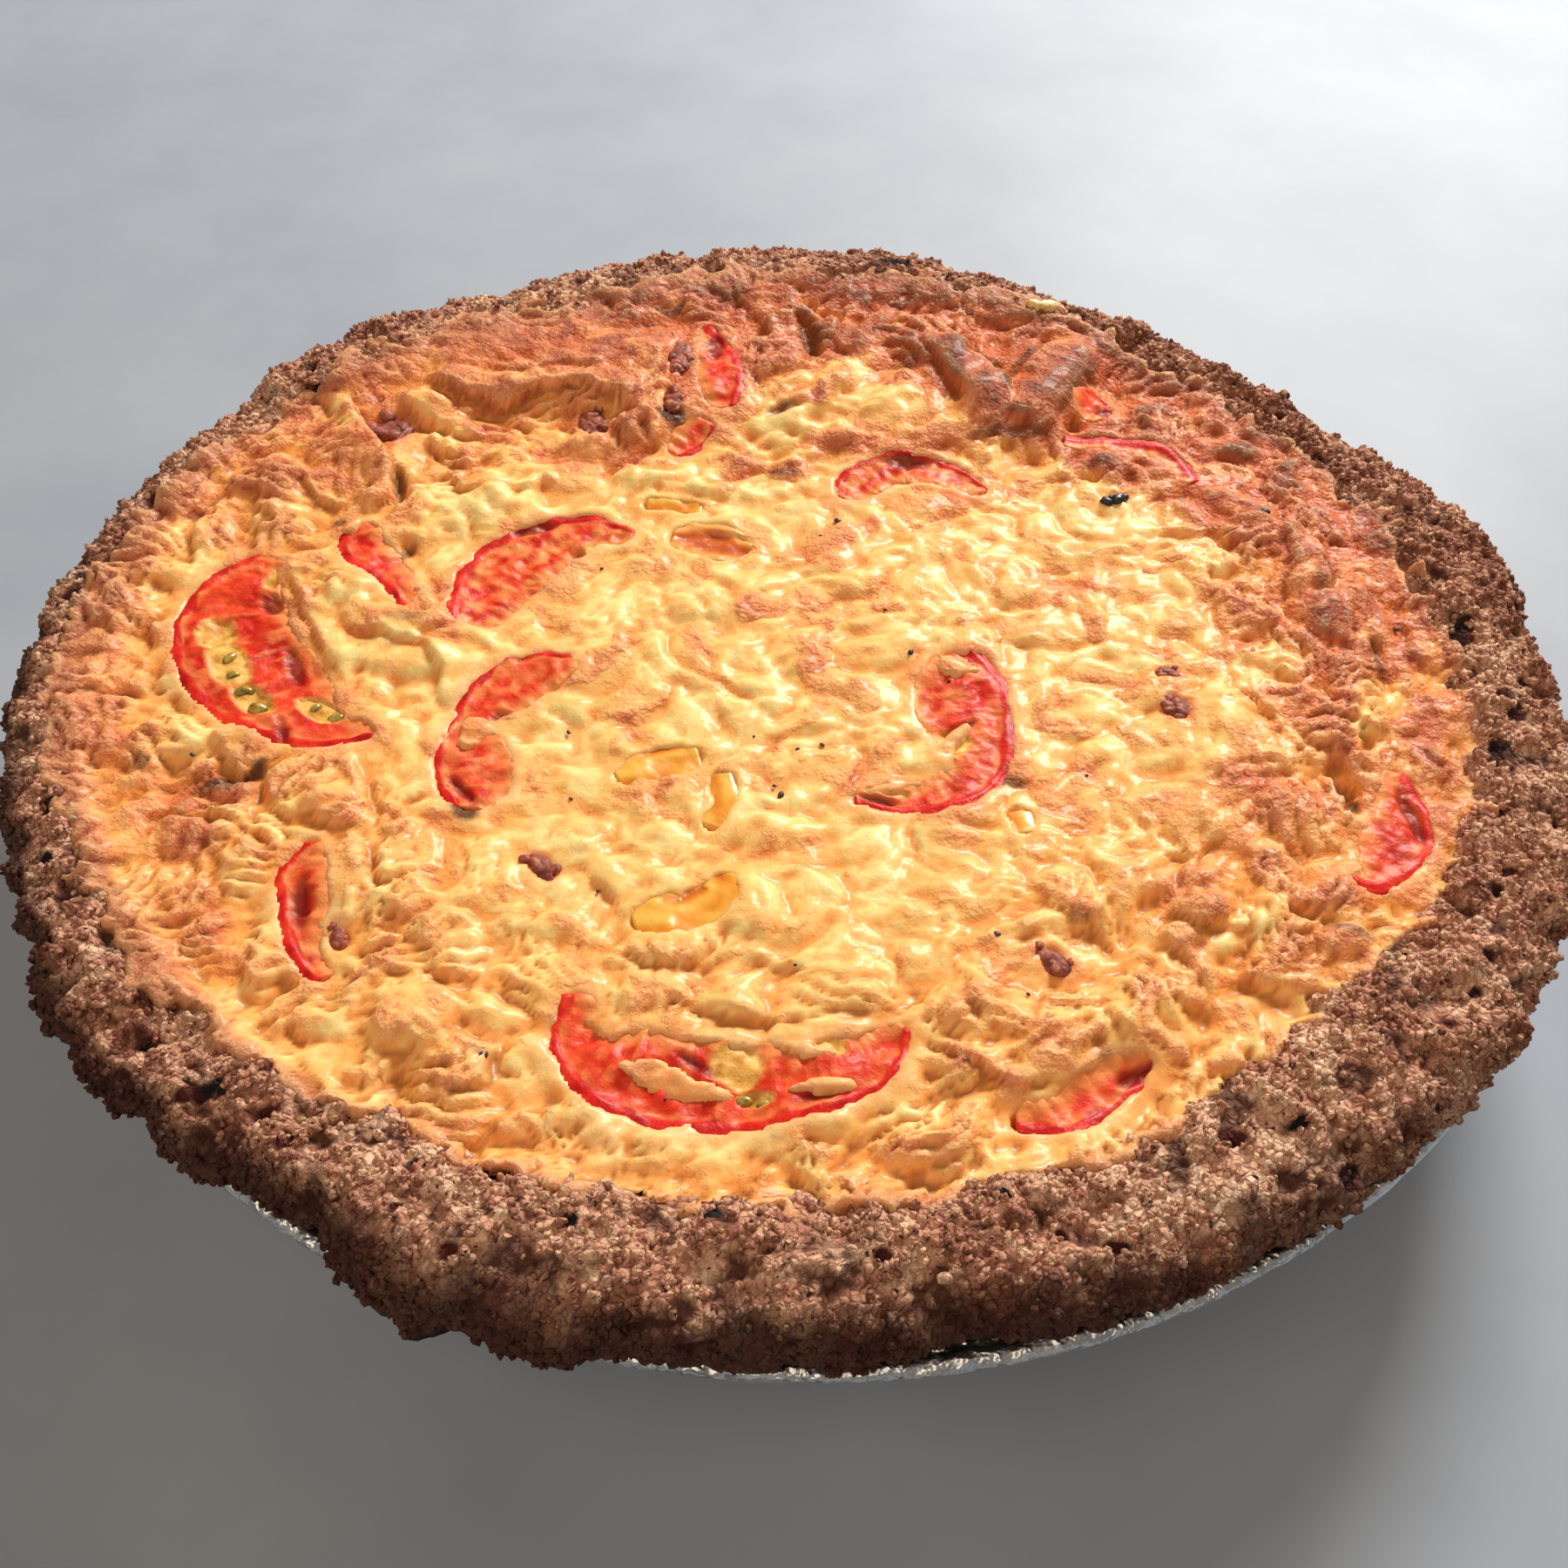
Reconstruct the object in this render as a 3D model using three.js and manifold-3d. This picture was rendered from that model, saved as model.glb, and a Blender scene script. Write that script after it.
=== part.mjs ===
// A whole scrapple quiche in its own nine inch foil tin.
// Millimetres, +Z up. The origin is the centre of the tin's base, on the table.
// +X is to the right and +Y points away from the side that faces the viewer.
import * as THREE from "three";
import { mergeVertices } from "three/addons/utils/BufferGeometryUtils.js";
import Module from "manifold-3d";

const wasm = await Module();
wasm.setup();

// The foil tin
const TIN_BASE_R = 86;
const TIN_INSIDE_R = 111;
const TIN_RIM_R = 122;
const TIN_RIM_Z = 30;
const FOIL = 0.7;
const BEAD = 1.2;
const PLEAT = 0.5;
// The foil is pushed in a little at the right of the back: depth, middle and spread in degrees.
const DENT = [4, 43, 19];

// The crust: where its outer edge and the edge of the custard lie, at even steps round the pie.
// The first value is at +X and the steps turn towards +Y.
const CRUST_EDGE_R = [
  122.5, 124.5, 115.5, 115, 116.5, 119.5, 121, 121.5, 120, 122.5, 121, 122,
  123.5, 124, 124, 125, 121.2, 122.4, 122, 120.5, 121, 121.5, 122, 121.5,
];
const CUSTARD_EDGE_R = [
  103, 103.5, 101.5, 97.5, 94, 93, 92.5, 91, 88.5, 94, 105, 108,
  106.5, 110, 108.5, 107, 105.5, 103.8, 102, 101.5, 101, 99.5, 104.8, 105.5,
];
const CREST_Z = [39.5, 38, 38, 38, 38, 37.3, 39, 39, 40, 40.5, 40, 40];
const CREST_AT = 0.42;
const EDGE_Z = 32.2;
const CRUST_THICK = 5;
const CRUST_FLOOR_R = 78;
const CRAG = 1;

// Flaps of crust that hang over the rim of the tin: angle and width in degrees, drop, reach.
const FLAPS = [
  [249.5, 3.4, 4.5, 2.8],
  [256.5, 3, 3, 1.6],
];

// The custard
const CENTRE_Z = 35.5;
const PUFFED_Z = 37.2;
const GAP = 0.35;
const RINGS = 18;
const STEPS = RINGS * 6;
// The pockets that hold the toppings are cut from above, starting clear of the highest puff.
const HOLE_TOP_Z = 60;

// The back of the pie stands a step higher. The line is the foot of the step: x, y.
const STEP_UP = 3.4;
const STEP_LINE = [
  [-130, 57],
  [-92, 57],
  [-84, 51],
  [-68, 54],
  [-52, 57],
  [-31, 50],
  [0, 56],
  [30, 53],
  [47, 55],
  [56, 72],
  [66, 90],
  [90, 130],
];

// Puffs and hollows of the custard: x, y, half length, half width, turn in degrees, height.
const PUFFS = [
  [68, -29, 17, 12, 105, 2.4],
  [57, -57, 8, 7, 0, 1.6],
  [73, -62, 10, 6, 20, 1.8],
  [84, 8, 26, 6, 95, 1.8],
  [76, 22, 14, 5, 70, 1.4],
  [31, 62, 10, 5, -65, 2.6],
  [45, 62, 12, 5.5, 62, 3.2],
  [-55, 27, 9, 7, 20, 1.8],
  [-67, 23, 6, 6, 0, 1.5],
  [-74, 9, 8, 5, -50, 1.6],
  [-78, 40, 13, 6, -55, 2.6],
  [-60, -4, 12, 6, -30, 1.3],
  [-87, -38, 8, 3.5, 15, -2.2],
  [-45, -80, 12, 7, -30, 1.4],
  [-55, -60, 12, 8, -35, 1.2],
  [45, -74, 11, 6, 40, 1.6],
  [28, -78, 9, 7, 10, 1.7],
  [-68, 15, 4, 3.5, 60, -3.2],
  [83, -33, 7, 2.2, 105, -2.8],
  [48, 48, 10, 3, 15, -1.6],
  [-22, -8, 26, 18, 20, 0.8],
  [20, 18, 24, 14, 10, 0.7],
  [-8, -58, 14, 9, 0, 0.9],
];

// One small black crumb lies on the custard: x, y, half length, half width.
const BLACK_CRUMB = [55, 34, 2.3, 1.5];

// Tomato slices, each as a bent strip: x, y and half width along its middle line.
// The skin runs along the right-hand side of the line.
const TOMATO_DEEP = 4.5;
const TOMATOES = {
  tomato_left: [
    [-90, 12, 2.5],
    [-93, 3, 6.5],
    [-92, -6, 9],
    [-88, -14, 9.5],
    [-81, -21, 8.5],
    [-73, -27, 4.6],
    [-64, -28.2, 1.3],
  ],
  tomato_left_wedge: [
    [-77, 20.5, 3],
    [-74, 13.5, 3.9],
    [-69, 8.5, 3.2],
    [-65.8, 3.5, 1.8],
    [-64.8, -0.5, 0.8],
  ],
  tomato_upper_left: [
    [-29.5, 21, 1.8],
    [-37, 21.8, 4],
    [-44, 18, 6.5],
    [-49.5, 11, 7.2],
    [-52, 3.5, 6],
    [-54.5, -3.5, 2.6],
  ],
  tomato_mid_left: [
    [-35.5, -11, 1.3],
    [-41, -13.2, 4.6],
    [-46, -17.5, 5.2],
    [-49.5, -24, 3.4],
    [-49.2, -31, 5],
    [-47.3, -37, 5.6],
    [-47.4, -42.2, 2.2],
  ],
  tomato_centre_right: [
    [9, -37, 1.4],
    [17, -37, 2.6],
    [25, -34, 3.6],
    [28.5, -27.5, 4.4],
    [26.5, -20, 7],
    [26, -12, 7],
    [26, -4.5, 2.6],
  ],
  tomato_right_rim: [
    [79.5, -51.3, 1],
    [83.5, -49.2, 2.6],
    [87.2, -44, 4.6],
    [89.8, -37, 4.2],
    [91, -29, 1.4],
  ],
  tomato_front: [
    [-28, -74.5, 1.6],
    [-27, -81, 3.6],
    [-20, -85.8, 6],
    [-8, -87, 6.5],
    [3, -86.4, 5],
    [11, -82.4, 4.2],
    [15.6, -77.6, 1.2],
  ],
  tomato_front_right: [
    [29.3, -90.4, 1.3],
    [35, -90, 2.2],
    [40, -86.6, 2.9],
    [44.5, -83, 1.9],
    [47.8, -81.3, 0.8],
  ],
  tomato_front_left: [
    [-68, -50.5, 1],
    [-68.5, -56, 3.2],
    [-67, -62, 3],
    [-65.5, -68, 2],
    [-61.6, -73.5, 1.3],
  ],
  tomato_back: [
    [-15.5, 56, 2],
    [-16.3, 62, 4],
    [-17.3, 68, 4.2],
    [-18.6, 75, 3],
    [-20.6, 81.5, 1],
  ],
  tomato_back_foot: [
    [-24, 44.6, 1.4],
    [-21.3, 48.8, 3],
    [-18.8, 52.6, 2],
  ],
  tomato_back_centre: [
    [32, 36.5, 1.8],
    [26, 40.8, 3],
    [18, 42.8, 3.8],
    [11, 39.4, 4],
    [6.5, 34.2, 2.6],
  ],
  tomato_back_right: [
    [56, 58.5, 2],
    [53.5, 61.8, 3.4],
    [51.6, 65.2, 1.6],
  ],
  tomato_back_right_arc: [
    [70.2, 40.5, 0.9],
    [66.5, 47, 1.9],
    [60, 50, 1.5],
    [52.5, 50.6, 1.6],
    [47.5, 51, 0.9],
  ],
};

// Strips of yellow and orange pepper, described in the same way.
const PEPPER_DEEP = 3;
const PEPPERS = {
  pepper_oval: [
    [-22.8, 22.2, 1.8],
    [-16.5, 21, 4.2],
    [-9.5, 18.2, 2.4],
  ],
  pepper_thin: [
    [-28, 30.8, 0.9],
    [-18, 29.8, 1.1],
  ],
  pepper_middle: [
    [-26.5, -35, 1.4],
    [-21, -31.8, 2.8],
    [-14.5, -29.6, 2.2],
  ],
  pepper_middle_side: [
    [-11.4, -32.8, 1.2],
    [-10.2, -38, 1.4],
    [-12, -43.5, 1],
  ],
  pepper_lower: [
    [-21.5, -62, 1.5],
    [-15.5, -60, 3.6],
    [-10.2, -57, 2.8],
    [-9.4, -52.5, 1.1],
  ],
  pepper_right: [
    [33.2, -38.5, 1.3],
    [33.9, -43, 1.4],
  ],
};

// Pieces of scrapple: x, y, half length, half width, turn in degrees.
const SCRAPPLE_DEEP = 3.5;
const SCRAPPLE = {
  scrapple_back_left: [-39.5, 51, 5, 2.5, 108],
  scrapple_left: [-76.5, 46.5, 5, 3.6, 70],
  scrapple_back: [-24.8, 70, 5.8, 2.3, 86],
  scrapple_back_low: [-24.6, 57.6, 3.6, 2.3, 76],
  scrapple_right: [59.5, -17, 2.6, 2.2, 80],
  scrapple_right_small: [59, -8.6, 1.8, 1.4, 0],
  scrapple_front_left: [-35.5, -52.5, 3.2, 1.7, -50],
  scrapple_front_right: [36, -66, 3.6, 1.8, -35],
  scrapple_left_low: [-61.4, -66.2, 2.4, 1.3, 106],
};

const TAU = 2 * Math.PI;

function smooth(low, high, value) {
  const t = Math.min(1, Math.max(0, (value - low) / (high - low)));
  return t * t * (3 - 2 * t);
}

// Reads a value from even stations round the pie, with a soft curve between them.
function around(stations, angle) {
  const n = stations.length;
  const turn = ((((angle / TAU) * n) % n) + n) % n;
  const first = Math.floor(turn);
  const t = turn - first;
  const [a, b, c, d] = [-1, 0, 1, 2].map((k) => stations[(first + k + n) % n]);
  return b + 0.5 * t * (c - a + t * (2 * a - 5 * b + 4 * c - d + t * (3 * (b - c) + d - a)));
}

// An even scatter of numbers from 0 to 1, and soft lumps from -1 to 1 made from it.
function scatter(i, j, seed) {
  const s = Math.sin(i * 127.1 + j * 311.7 + seed * 74.7) * 43758.5453;
  return s - Math.floor(s);
}

function lumps(x, y, seed) {
  const i = Math.floor(x);
  const j = Math.floor(y);
  const u = smooth(0, 1, x - i);
  const v = smooth(0, 1, y - j);
  const low = scatter(i, j, seed) * (1 - u) + scatter(i + 1, j, seed) * u;
  const high = scatter(i, j + 1, seed) * (1 - u) + scatter(i + 1, j + 1, seed) * u;
  return 2 * (low * (1 - v) + high * v) - 1;
}

// How far a place stands up the step at the back, from 0 to 1.
function stepUp(x, y) {
  let foot = STEP_LINE[0][1];
  for (let k = 1; k < STEP_LINE.length; k++) {
    const [x0, y0] = STEP_LINE[k - 1];
    const [x1, y1] = STEP_LINE[k];
    if (x >= x0) foot = y0 + ((y1 - y0) * Math.min(x - x0, x1 - x0)) / (x1 - x0);
  }
  const ease = 2 + 11 * Math.exp(-(((x - 2) / 22) ** 2));
  return smooth(-ease, ease, y - foot);
}

function puffs(x, y) {
  let height = 0;
  for (const [px, py, long, wide, turn, rise] of PUFFS) {
    const a = THREE.MathUtils.degToRad(turn);
    const u = ((x - px) * Math.cos(a) + (y - py) * Math.sin(a)) / long;
    const v = ((y - py) * Math.cos(a) - (x - px) * Math.sin(a)) / wide;
    height += rise * Math.exp(-1.4 * (u * u + v * v));
  }
  return height;
}

// The top of the custard, also read where tomato, pepper and scrapple lie in it.
function custardZ(x, y) {
  const out = Math.hypot(x, y) / around(CUSTARD_EDGE_R, Math.atan2(y, x));
  const dish = CENTRE_Z + (PUFFED_Z - CENTRE_Z) * smooth(0.35, 0.85, out);
  const ripple = (0.25 + 0.45 * smooth(0.4, 0.9, out)) * lumps(x / 8, y / 8, 3);
  return dish + STEP_UP * stepUp(x, y) + puffs(x, y) + ripple;
}

// The top of the crust. across is 0 at the custard and 1 at the outer edge.
function crustPoint(angle, across) {
  const inner = around(CUSTARD_EDGE_R, angle);
  const jut = 0.9 * lumps(angle * 13, 0, 5) * across + flap(angle, REACH) * across;
  const r = inner + (around(CRUST_EDGE_R, angle) + jut - inner) * across;
  const [x, y] = [r * Math.cos(angle), r * Math.sin(angle)];
  const [ix, iy] = [inner * Math.cos(angle), inner * Math.sin(angle)];
  const startZ = custardZ(ix, iy);
  const raised = stepUp(x, y);
  const lumpEnd = (1 - smooth(-88, -72, x)) * raised;
  const crestZ = around(CREST_Z, angle) + STEP_UP * raised;
  const broad = lumps(x / 14, y / 14, 10) + 0.8 * lumps(x / 7, y / 7, 11);
  const crag = CRAG * (broad + 0.5 * lumps(x / 4, y / 4, 12));
  const rough = smooth(0, 0.25, across);
  if (across < CREST_AT) {
    const u = 1 - across / CREST_AT;
    return [x, y, crestZ - (crestZ - startZ) * u * u + crag * rough];
  }
  const u = (across - CREST_AT) / (1 - CREST_AT);
  const bulge = 2.3 - 1.1 * raised * (1 - lumpEnd);
  const fall = (1 - u ** bulge) ** (1 / bulge);
  const groove = 2.4 * Math.exp(-(((across - 0.45) / 0.1) ** 2)) * doubleRim(angle);
  const droop = 0.5 * flap(angle, DROP) * smooth(0.7, 1, across);
  return [x, y, EDGE_Z + (crestZ - EDGE_Z) * fall - groove - droop + crag * (0.3 + 0.7 * fall)];
}

// How far the flaps hang down, or reach out, at an angle round the pie.
const DROP = 2;
const REACH = 3;
function flap(angle, what) {
  const degrees = THREE.MathUtils.radToDeg(angle);
  return FLAPS.reduce((sum, shape) => {
    return sum + shape[what] * Math.exp(-(((degrees - shape[0]) / shape[1]) ** 2));
  }, 0);
}

// At the right of the back the rim is doubled: a groove runs along it.
function doubleRim(angle) {
  const degrees = THREE.MathUtils.radToDeg(angle);
  return smooth(30, 38, degrees) * (1 - smooth(60, 68, degrees));
}

// Closed skins are built from rings of points. A ring of one point closes an end.
class Skin {
  constructor() {
    this.points = [];
    this.faces = [];
  }

  ring(points) {
    return points.map((p) => this.points.push(p) - 1);
  }

  // Joins two rings, also when their counts differ.
  join(a, b) {
    const at = (ring, k) => ring[k % ring.length];
    const endA = a.length > 1 ? a.length : 0;
    const endB = b.length > 1 ? b.length : 0;
    let i = 0;
    let j = 0;
    while (i < endA || j < endB) {
      const stepA = j >= endB || (i < endA && (i + 1) / endA <= (j + 1) / endB + 1e-9);
      if (stepA) this.faces.push([at(a, i), at(a, i + 1), at(b, j)]);
      else this.faces.push([at(a, i), at(b, j + 1), at(b, j)]);
      if (stepA) i++;
      else j++;
    }
  }

  joinAll(rings) {
    const made = rings.map((points) => this.ring(points));
    for (let k = 1; k < made.length; k++) this.join(made[k - 1], made[k]);
    return made;
  }

  geometry() {
    const at = this.points.map((p) => new THREE.Vector3(...p));
    const volume = this.faces.reduce((sum, [a, b, c]) => {
      return sum + at[a].dot(at[b].clone().cross(at[c]));
    }, 0);
    const outward = this.faces.map(([a, b, c]) => (volume < 0 ? [a, c, b] : [a, b, c]));
    const geometry = new THREE.BufferGeometry();
    geometry.setAttribute("position", new THREE.Float32BufferAttribute(this.points.flat(), 3));
    geometry.setIndex(outward.flat());
    geometry.computeVertexNormals();
    return geometry;
  }
}

// A level ring of even steps whose radius and height may follow the angle.
function turned(radius, height) {
  const value = (v, angle) => (typeof v === "function" ? v(angle) : v);
  return Array.from({ length: STEPS }, (_, k) => {
    const angle = (k / STEPS) * TAU;
    const r = value(radius, angle);
    return [r * Math.cos(angle), r * Math.sin(angle), value(height, angle)];
  });
}

// A radius on the tin, or on the crust that lines it, drawn in where the foil is pushed in.
function dented(r, angle) {
  const [deep, middle, spread] = DENT;
  const off = (THREE.MathUtils.radToDeg(angle) - middle) / spread;
  return r - deep * Math.exp(-off * off) * smooth(TIN_BASE_R, TIN_RIM_R, r);
}

// The tin: a pleated wall, a flat flange and a rolled bead.
function tinGeometry() {
  const pleat = (angle) => (Math.round((angle / TAU) * STEPS) % 2 ? PLEAT : -PLEAT);
  const beadR = TIN_RIM_R - BEAD;
  const bead = (degrees) => {
    const a = THREE.MathUtils.degToRad(degrees);
    const r = beadR + BEAD * Math.cos(a);
    return turned((angle) => dented(r, angle), TIN_RIM_Z + BEAD * Math.sin(a));
  };
  const skin = new Skin();
  skin.joinAll([
    [[0, 0, 0]],
    turned(TIN_BASE_R, 0),
    turned((a) => dented(TIN_INSIDE_R + pleat(a), a), TIN_RIM_Z - 1.4),
    turned((a) => dented(beadR - BEAD, a), TIN_RIM_Z - 0.8),
    bead(-80),
    bead(0),
    bead(80),
    bead(160),
    turned((a) => dented(beadR - 2, a), TIN_RIM_Z - 0.1),
    turned((a) => dented(TIN_INSIDE_R - 0.5 + pleat(a), a), TIN_RIM_Z - 0.7),
    turned(TIN_BASE_R - 0.5, FOIL),
    [[0, 0, FOIL]],
  ]);
  return skin.geometry();
}

// The crust lines the tin, lies on its rim and stands up as a rough, rounded bank.
function crustGeometry() {
  const across = [1, 0.96, 0.9, 0.82, 0.72, 0.6, 0.48, 0.36, 0.24, 0.12, 0];
  const edge = (angle) => Math.hypot(...crustPoint(angle, 1).slice(0, 2));
  const overBead = TIN_RIM_Z + BEAD + GAP;
  const wallClear = (PLEAT + GAP) * 1.35;
  const skin = new Skin();
  skin.joinAll([
    [[0, 0, FOIL + GAP]],
    turned(TIN_BASE_R - 0.5 - wallClear, FOIL + GAP + 0.05),
    turned((a) => dented(TIN_INSIDE_R - 0.5 - wallClear, a), TIN_RIM_Z - 0.25),
    turned((a) => dented(TIN_RIM_R - 3.9, a), TIN_RIM_Z + 0.35),
    turned((a) => Math.min(edge(a) - 2, dented(TIN_RIM_R - 2, a)), overBead),
    turned((a) => Math.min(edge(a) - 1, dented(TIN_RIM_R + 0.7, a)), overBead),
    turned((a) => edge(a) - 0.3, (a) => overBead + 0.1 - flap(a, DROP) * smooth(123, 123.8, edge(a))),
    ...across.map((s) => Array.from({ length: STEPS }, (_, k) => crustPoint((k / STEPS) * TAU, s))),
    turned((a) => around(CUSTARD_EDGE_R, a) - 3, TIN_RIM_Z),
    turned(CRUST_FLOOR_R + 2, CRUST_THICK + 3),
    turned(CRUST_FLOOR_R, CRUST_THICK + 1),
    [[0, 0, CRUST_THICK + 1]],
  ]);
  return skin.geometry();
}

// The custard fills the crust. Its top is a net of rings, each six steps longer than the last.
function custardGeometry() {
  const skin = new Skin();
  const edge = (angle) => around(CUSTARD_EDGE_R, angle) - GAP;
  const rings = [];
  for (let k = 0; k <= RINGS; k++) {
    const count = Math.max(1, 6 * k);
    rings.push(
      Array.from({ length: count }, (_, j) => {
        const angle = (j / count) * TAU;
        const r = (edge(angle) * k) / RINGS;
        const [x, y] = [r * Math.cos(angle), r * Math.sin(angle)];
        return [x, y, custardZ(x, y)];
      }),
    );
  }
  skin.joinAll([
    ...rings,
    turned((a) => edge(a) - 3, TIN_RIM_Z),
    turned(CRUST_FLOOR_R + 2 - GAP, CRUST_THICK + 3 + GAP),
    turned(CRUST_FLOOR_R - GAP, CRUST_THICK + 1 + GAP),
    [[0, 0, CRUST_THICK + 1 + GAP]],
  ]);
  return skin.geometry();
}

// Walks along a strip's middle line. Each stop gives the place, the sideways direction and the half width.
function stops(line, longestStep) {
  const curve = new THREE.CatmullRomCurve3(line.map((p) => new THREE.Vector3(...p)));
  const length = line.slice(1).reduce((sum, [x, y], k) => {
    return sum + Math.hypot(x - line[k][0], y - line[k][1]);
  }, 0);
  const count = Math.max(3, Math.ceil(length / longestStep));
  return Array.from({ length: count + 1 }, (_, k) => {
    const place = curve.getPoint(k / count);
    const along = curve.getTangent(k / count);
    const size = Math.hypot(along.x, along.y);
    return {
      x: place.x,
      y: place.y,
      half: place.z,
      forward: [along.x / size, along.y / size],
      side: [-along.y / size, along.x / size],
    };
  });
}

// The lowest height of the custard across a strip at one stop.
function lowest({ x, y, half, side }) {
  return Math.min(...[-1, 0, 1].map((s) => custardZ(x + side[0] * half * s, y + side[1] * half * s)));
}

// Runs a closed skin along a strip, with a point in the middle of each end.
function stripSkin(rings) {
  const middle = (ring) => [0, 1, 2].map((i) => ring.reduce((sum, p) => sum + p[i], 0) / ring.length);
  const skin = new Skin();
  skin.joinAll([[middle(rings[0])], ...rings, [middle(rings.at(-1))]]);
  return skin.geometry();
}

// A strip set into the custard. top lists its upper side as [side from -1 to 1, lift above the custard].
function stripGeometry({ line, top, deep, longest }) {
  const rings = stops(line, longest).map((stop) => {
    const place = (across, lift, level) => {
      const x = stop.x + stop.side[0] * stop.half * across;
      const y = stop.y + stop.side[1] * stop.half * across;
      return [x, y, (level ?? custardZ(x, y)) + lift];
    };
    const floor = lowest(stop);
    return [
      ...top.map(([across, lift]) => place(across, lift)),
      place(0.8, -deep, floor),
      place(-0.8, -deep, floor),
    ];
  });
  return stripSkin(rings);
}

// The hole in the custard that a strip lies in: a little larger all round, open at the top.
function stripHole({ line, deep, longest }) {
  const walk = stops(line, longest);
  const rings = walk.map((stop, k) => {
    const end = k === 0 ? -GAP : k === walk.length - 1 ? GAP : 0;
    const wall = (across, z) => [
      stop.x + stop.forward[0] * end + stop.side[0] * (stop.half + GAP) * across,
      stop.y + stop.forward[1] * end + stop.side[1] * (stop.half + GAP) * across,
      z,
    ];
    const floor = lowest(stop) - deep - GAP;
    return [wall(-1, HOLE_TOP_Z), wall(1, HOLE_TOP_Z), wall(1, floor), wall(-1, floor)];
  });
  return stripSkin(rings);
}

// A rough lump, as a strip that swells in the middle.
function lumpLine([x, y, long, wide, turn]) {
  const a = THREE.MathUtils.degToRad(turn);
  const at = (t, w) => [x + Math.cos(a) * long * t, y + Math.sin(a) * long * t, wide * w];
  return [at(-1, 0.45), at(-0.35, 1), at(0.4, 0.92), at(1, 0.4)];
}

function solid(geometry) {
  const bare = geometry.clone();
  bare.deleteAttribute("normal");
  bare.deleteAttribute("uv");
  const merged = mergeVertices(bare, 1e-4);
  const mesh = new wasm.Mesh({
    numProp: 3,
    vertProperties: merged.attributes.position.array,
    triVerts: new Uint32Array(merged.index.array),
  });
  return new wasm.Manifold(mesh);
}

function geometryOf(manifold) {
  const { vertProperties, triVerts } = manifold.getMesh();
  const geometry = new THREE.BufferGeometry();
  geometry.setAttribute("position", new THREE.Float32BufferAttribute(vertProperties, 3));
  geometry.setIndex(Array.from(triVerts));
  geometry.computeVertexNormals();
  return geometry;
}

function crumbGeometry([x, y, long, wide]) {
  const crumb = new THREE.IcosahedronGeometry(1, 1);
  crumb.scale(long, wide, 1.1);
  crumb.translate(x, y, custardZ(x, y) + 0.3);
  return crumb;
}

const finish = {
  foil: new THREE.MeshStandardMaterial({ color: 0xc8cdd0, roughness: 0.35, metalness: 1 }),
  crust: new THREE.MeshStandardMaterial({ color: 0x9c7752, roughness: 0.9, metalness: 0 }),
  custard: new THREE.MeshStandardMaterial({ color: 0xf2b860, roughness: 0.5, metalness: 0 }),
  tomato: new THREE.MeshStandardMaterial({ color: 0xcf3323, roughness: 0.35, metalness: 0 }),
  pepper: new THREE.MeshStandardMaterial({ color: 0xdd8a1e, roughness: 0.4, metalness: 0 }),
  scrapple: new THREE.MeshStandardMaterial({ color: 0x7a4334, roughness: 0.8, metalness: 0 }),
};

const quiche = new THREE.Group();

function addPiece(name, geometry, material) {
  const mesh = new THREE.Mesh(geometry, material);
  mesh.name = name;
  quiche.add(mesh);
}

// The upper side of each kind of set-in piece, and the longest stretch between its sections.
// A tomato has a raised skin along one side.
const TOMATO = {
  deep: TOMATO_DEEP,
  longest: 5,
  top: [
    [-1, 0.1],
    [-0.72, 0.75],
    [-0.3, 0.15],
    [0.45, 0.3],
    [1, 0],
  ],
};
const PEPPER = {
  deep: PEPPER_DEEP,
  longest: 4.5,
  top: [
    [-1, 0],
    [0, 0.45],
    [1, 0],
  ],
};
const LUMP = {
  deep: SCRAPPLE_DEEP,
  longest: 3.5,
  top: [
    [-1, 0],
    [-0.45, 0.9],
    [0.45, 0.8],
    [1, 0],
  ],
};

const pieces = [
  ...Object.entries(TOMATOES).map(([name, line]) => ({ name, line, ...TOMATO, paint: finish.tomato })),
  ...Object.entries(PEPPERS).map(([name, line]) => ({ name, line, ...PEPPER, paint: finish.pepper })),
  ...Object.entries(SCRAPPLE).map(([name, lump]) => {
    return { name, line: lumpLine(lump), ...LUMP, paint: finish.scrapple };
  }),
];

let filling = solid(custardGeometry());
for (const piece of pieces) filling = filling.subtract(solid(stripHole(piece)));
filling = filling.add(solid(crumbGeometry(BLACK_CRUMB)));

addPiece("foil_tin", tinGeometry(), finish.foil);
addPiece("crust", crustGeometry(), finish.crust);
addPiece("custard", geometryOf(filling), finish.custard);
for (const piece of pieces) addPiece(piece.name, stripGeometry(piece), piece.paint);

export default quiche;
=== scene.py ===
# %% [markdown]
# A whole scrapple quiche in its foil tin. A thin custard skin has browned and puffed over
# tomato slices, strips of pepper and bits of scrapple, inside a thick bank of crumbly crust.
# The CAD model gives every piece its place and size. This lesson loads it as a fixed frame
# and builds the surfaces that an oven makes: puffs, folds, torn flaps, crumbs and gloss.

# %% Load the frame and note the size of the CAD model
import math

import bmesh
import bpy
import numpy as np
from mathutils import Matrix, Vector


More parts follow.
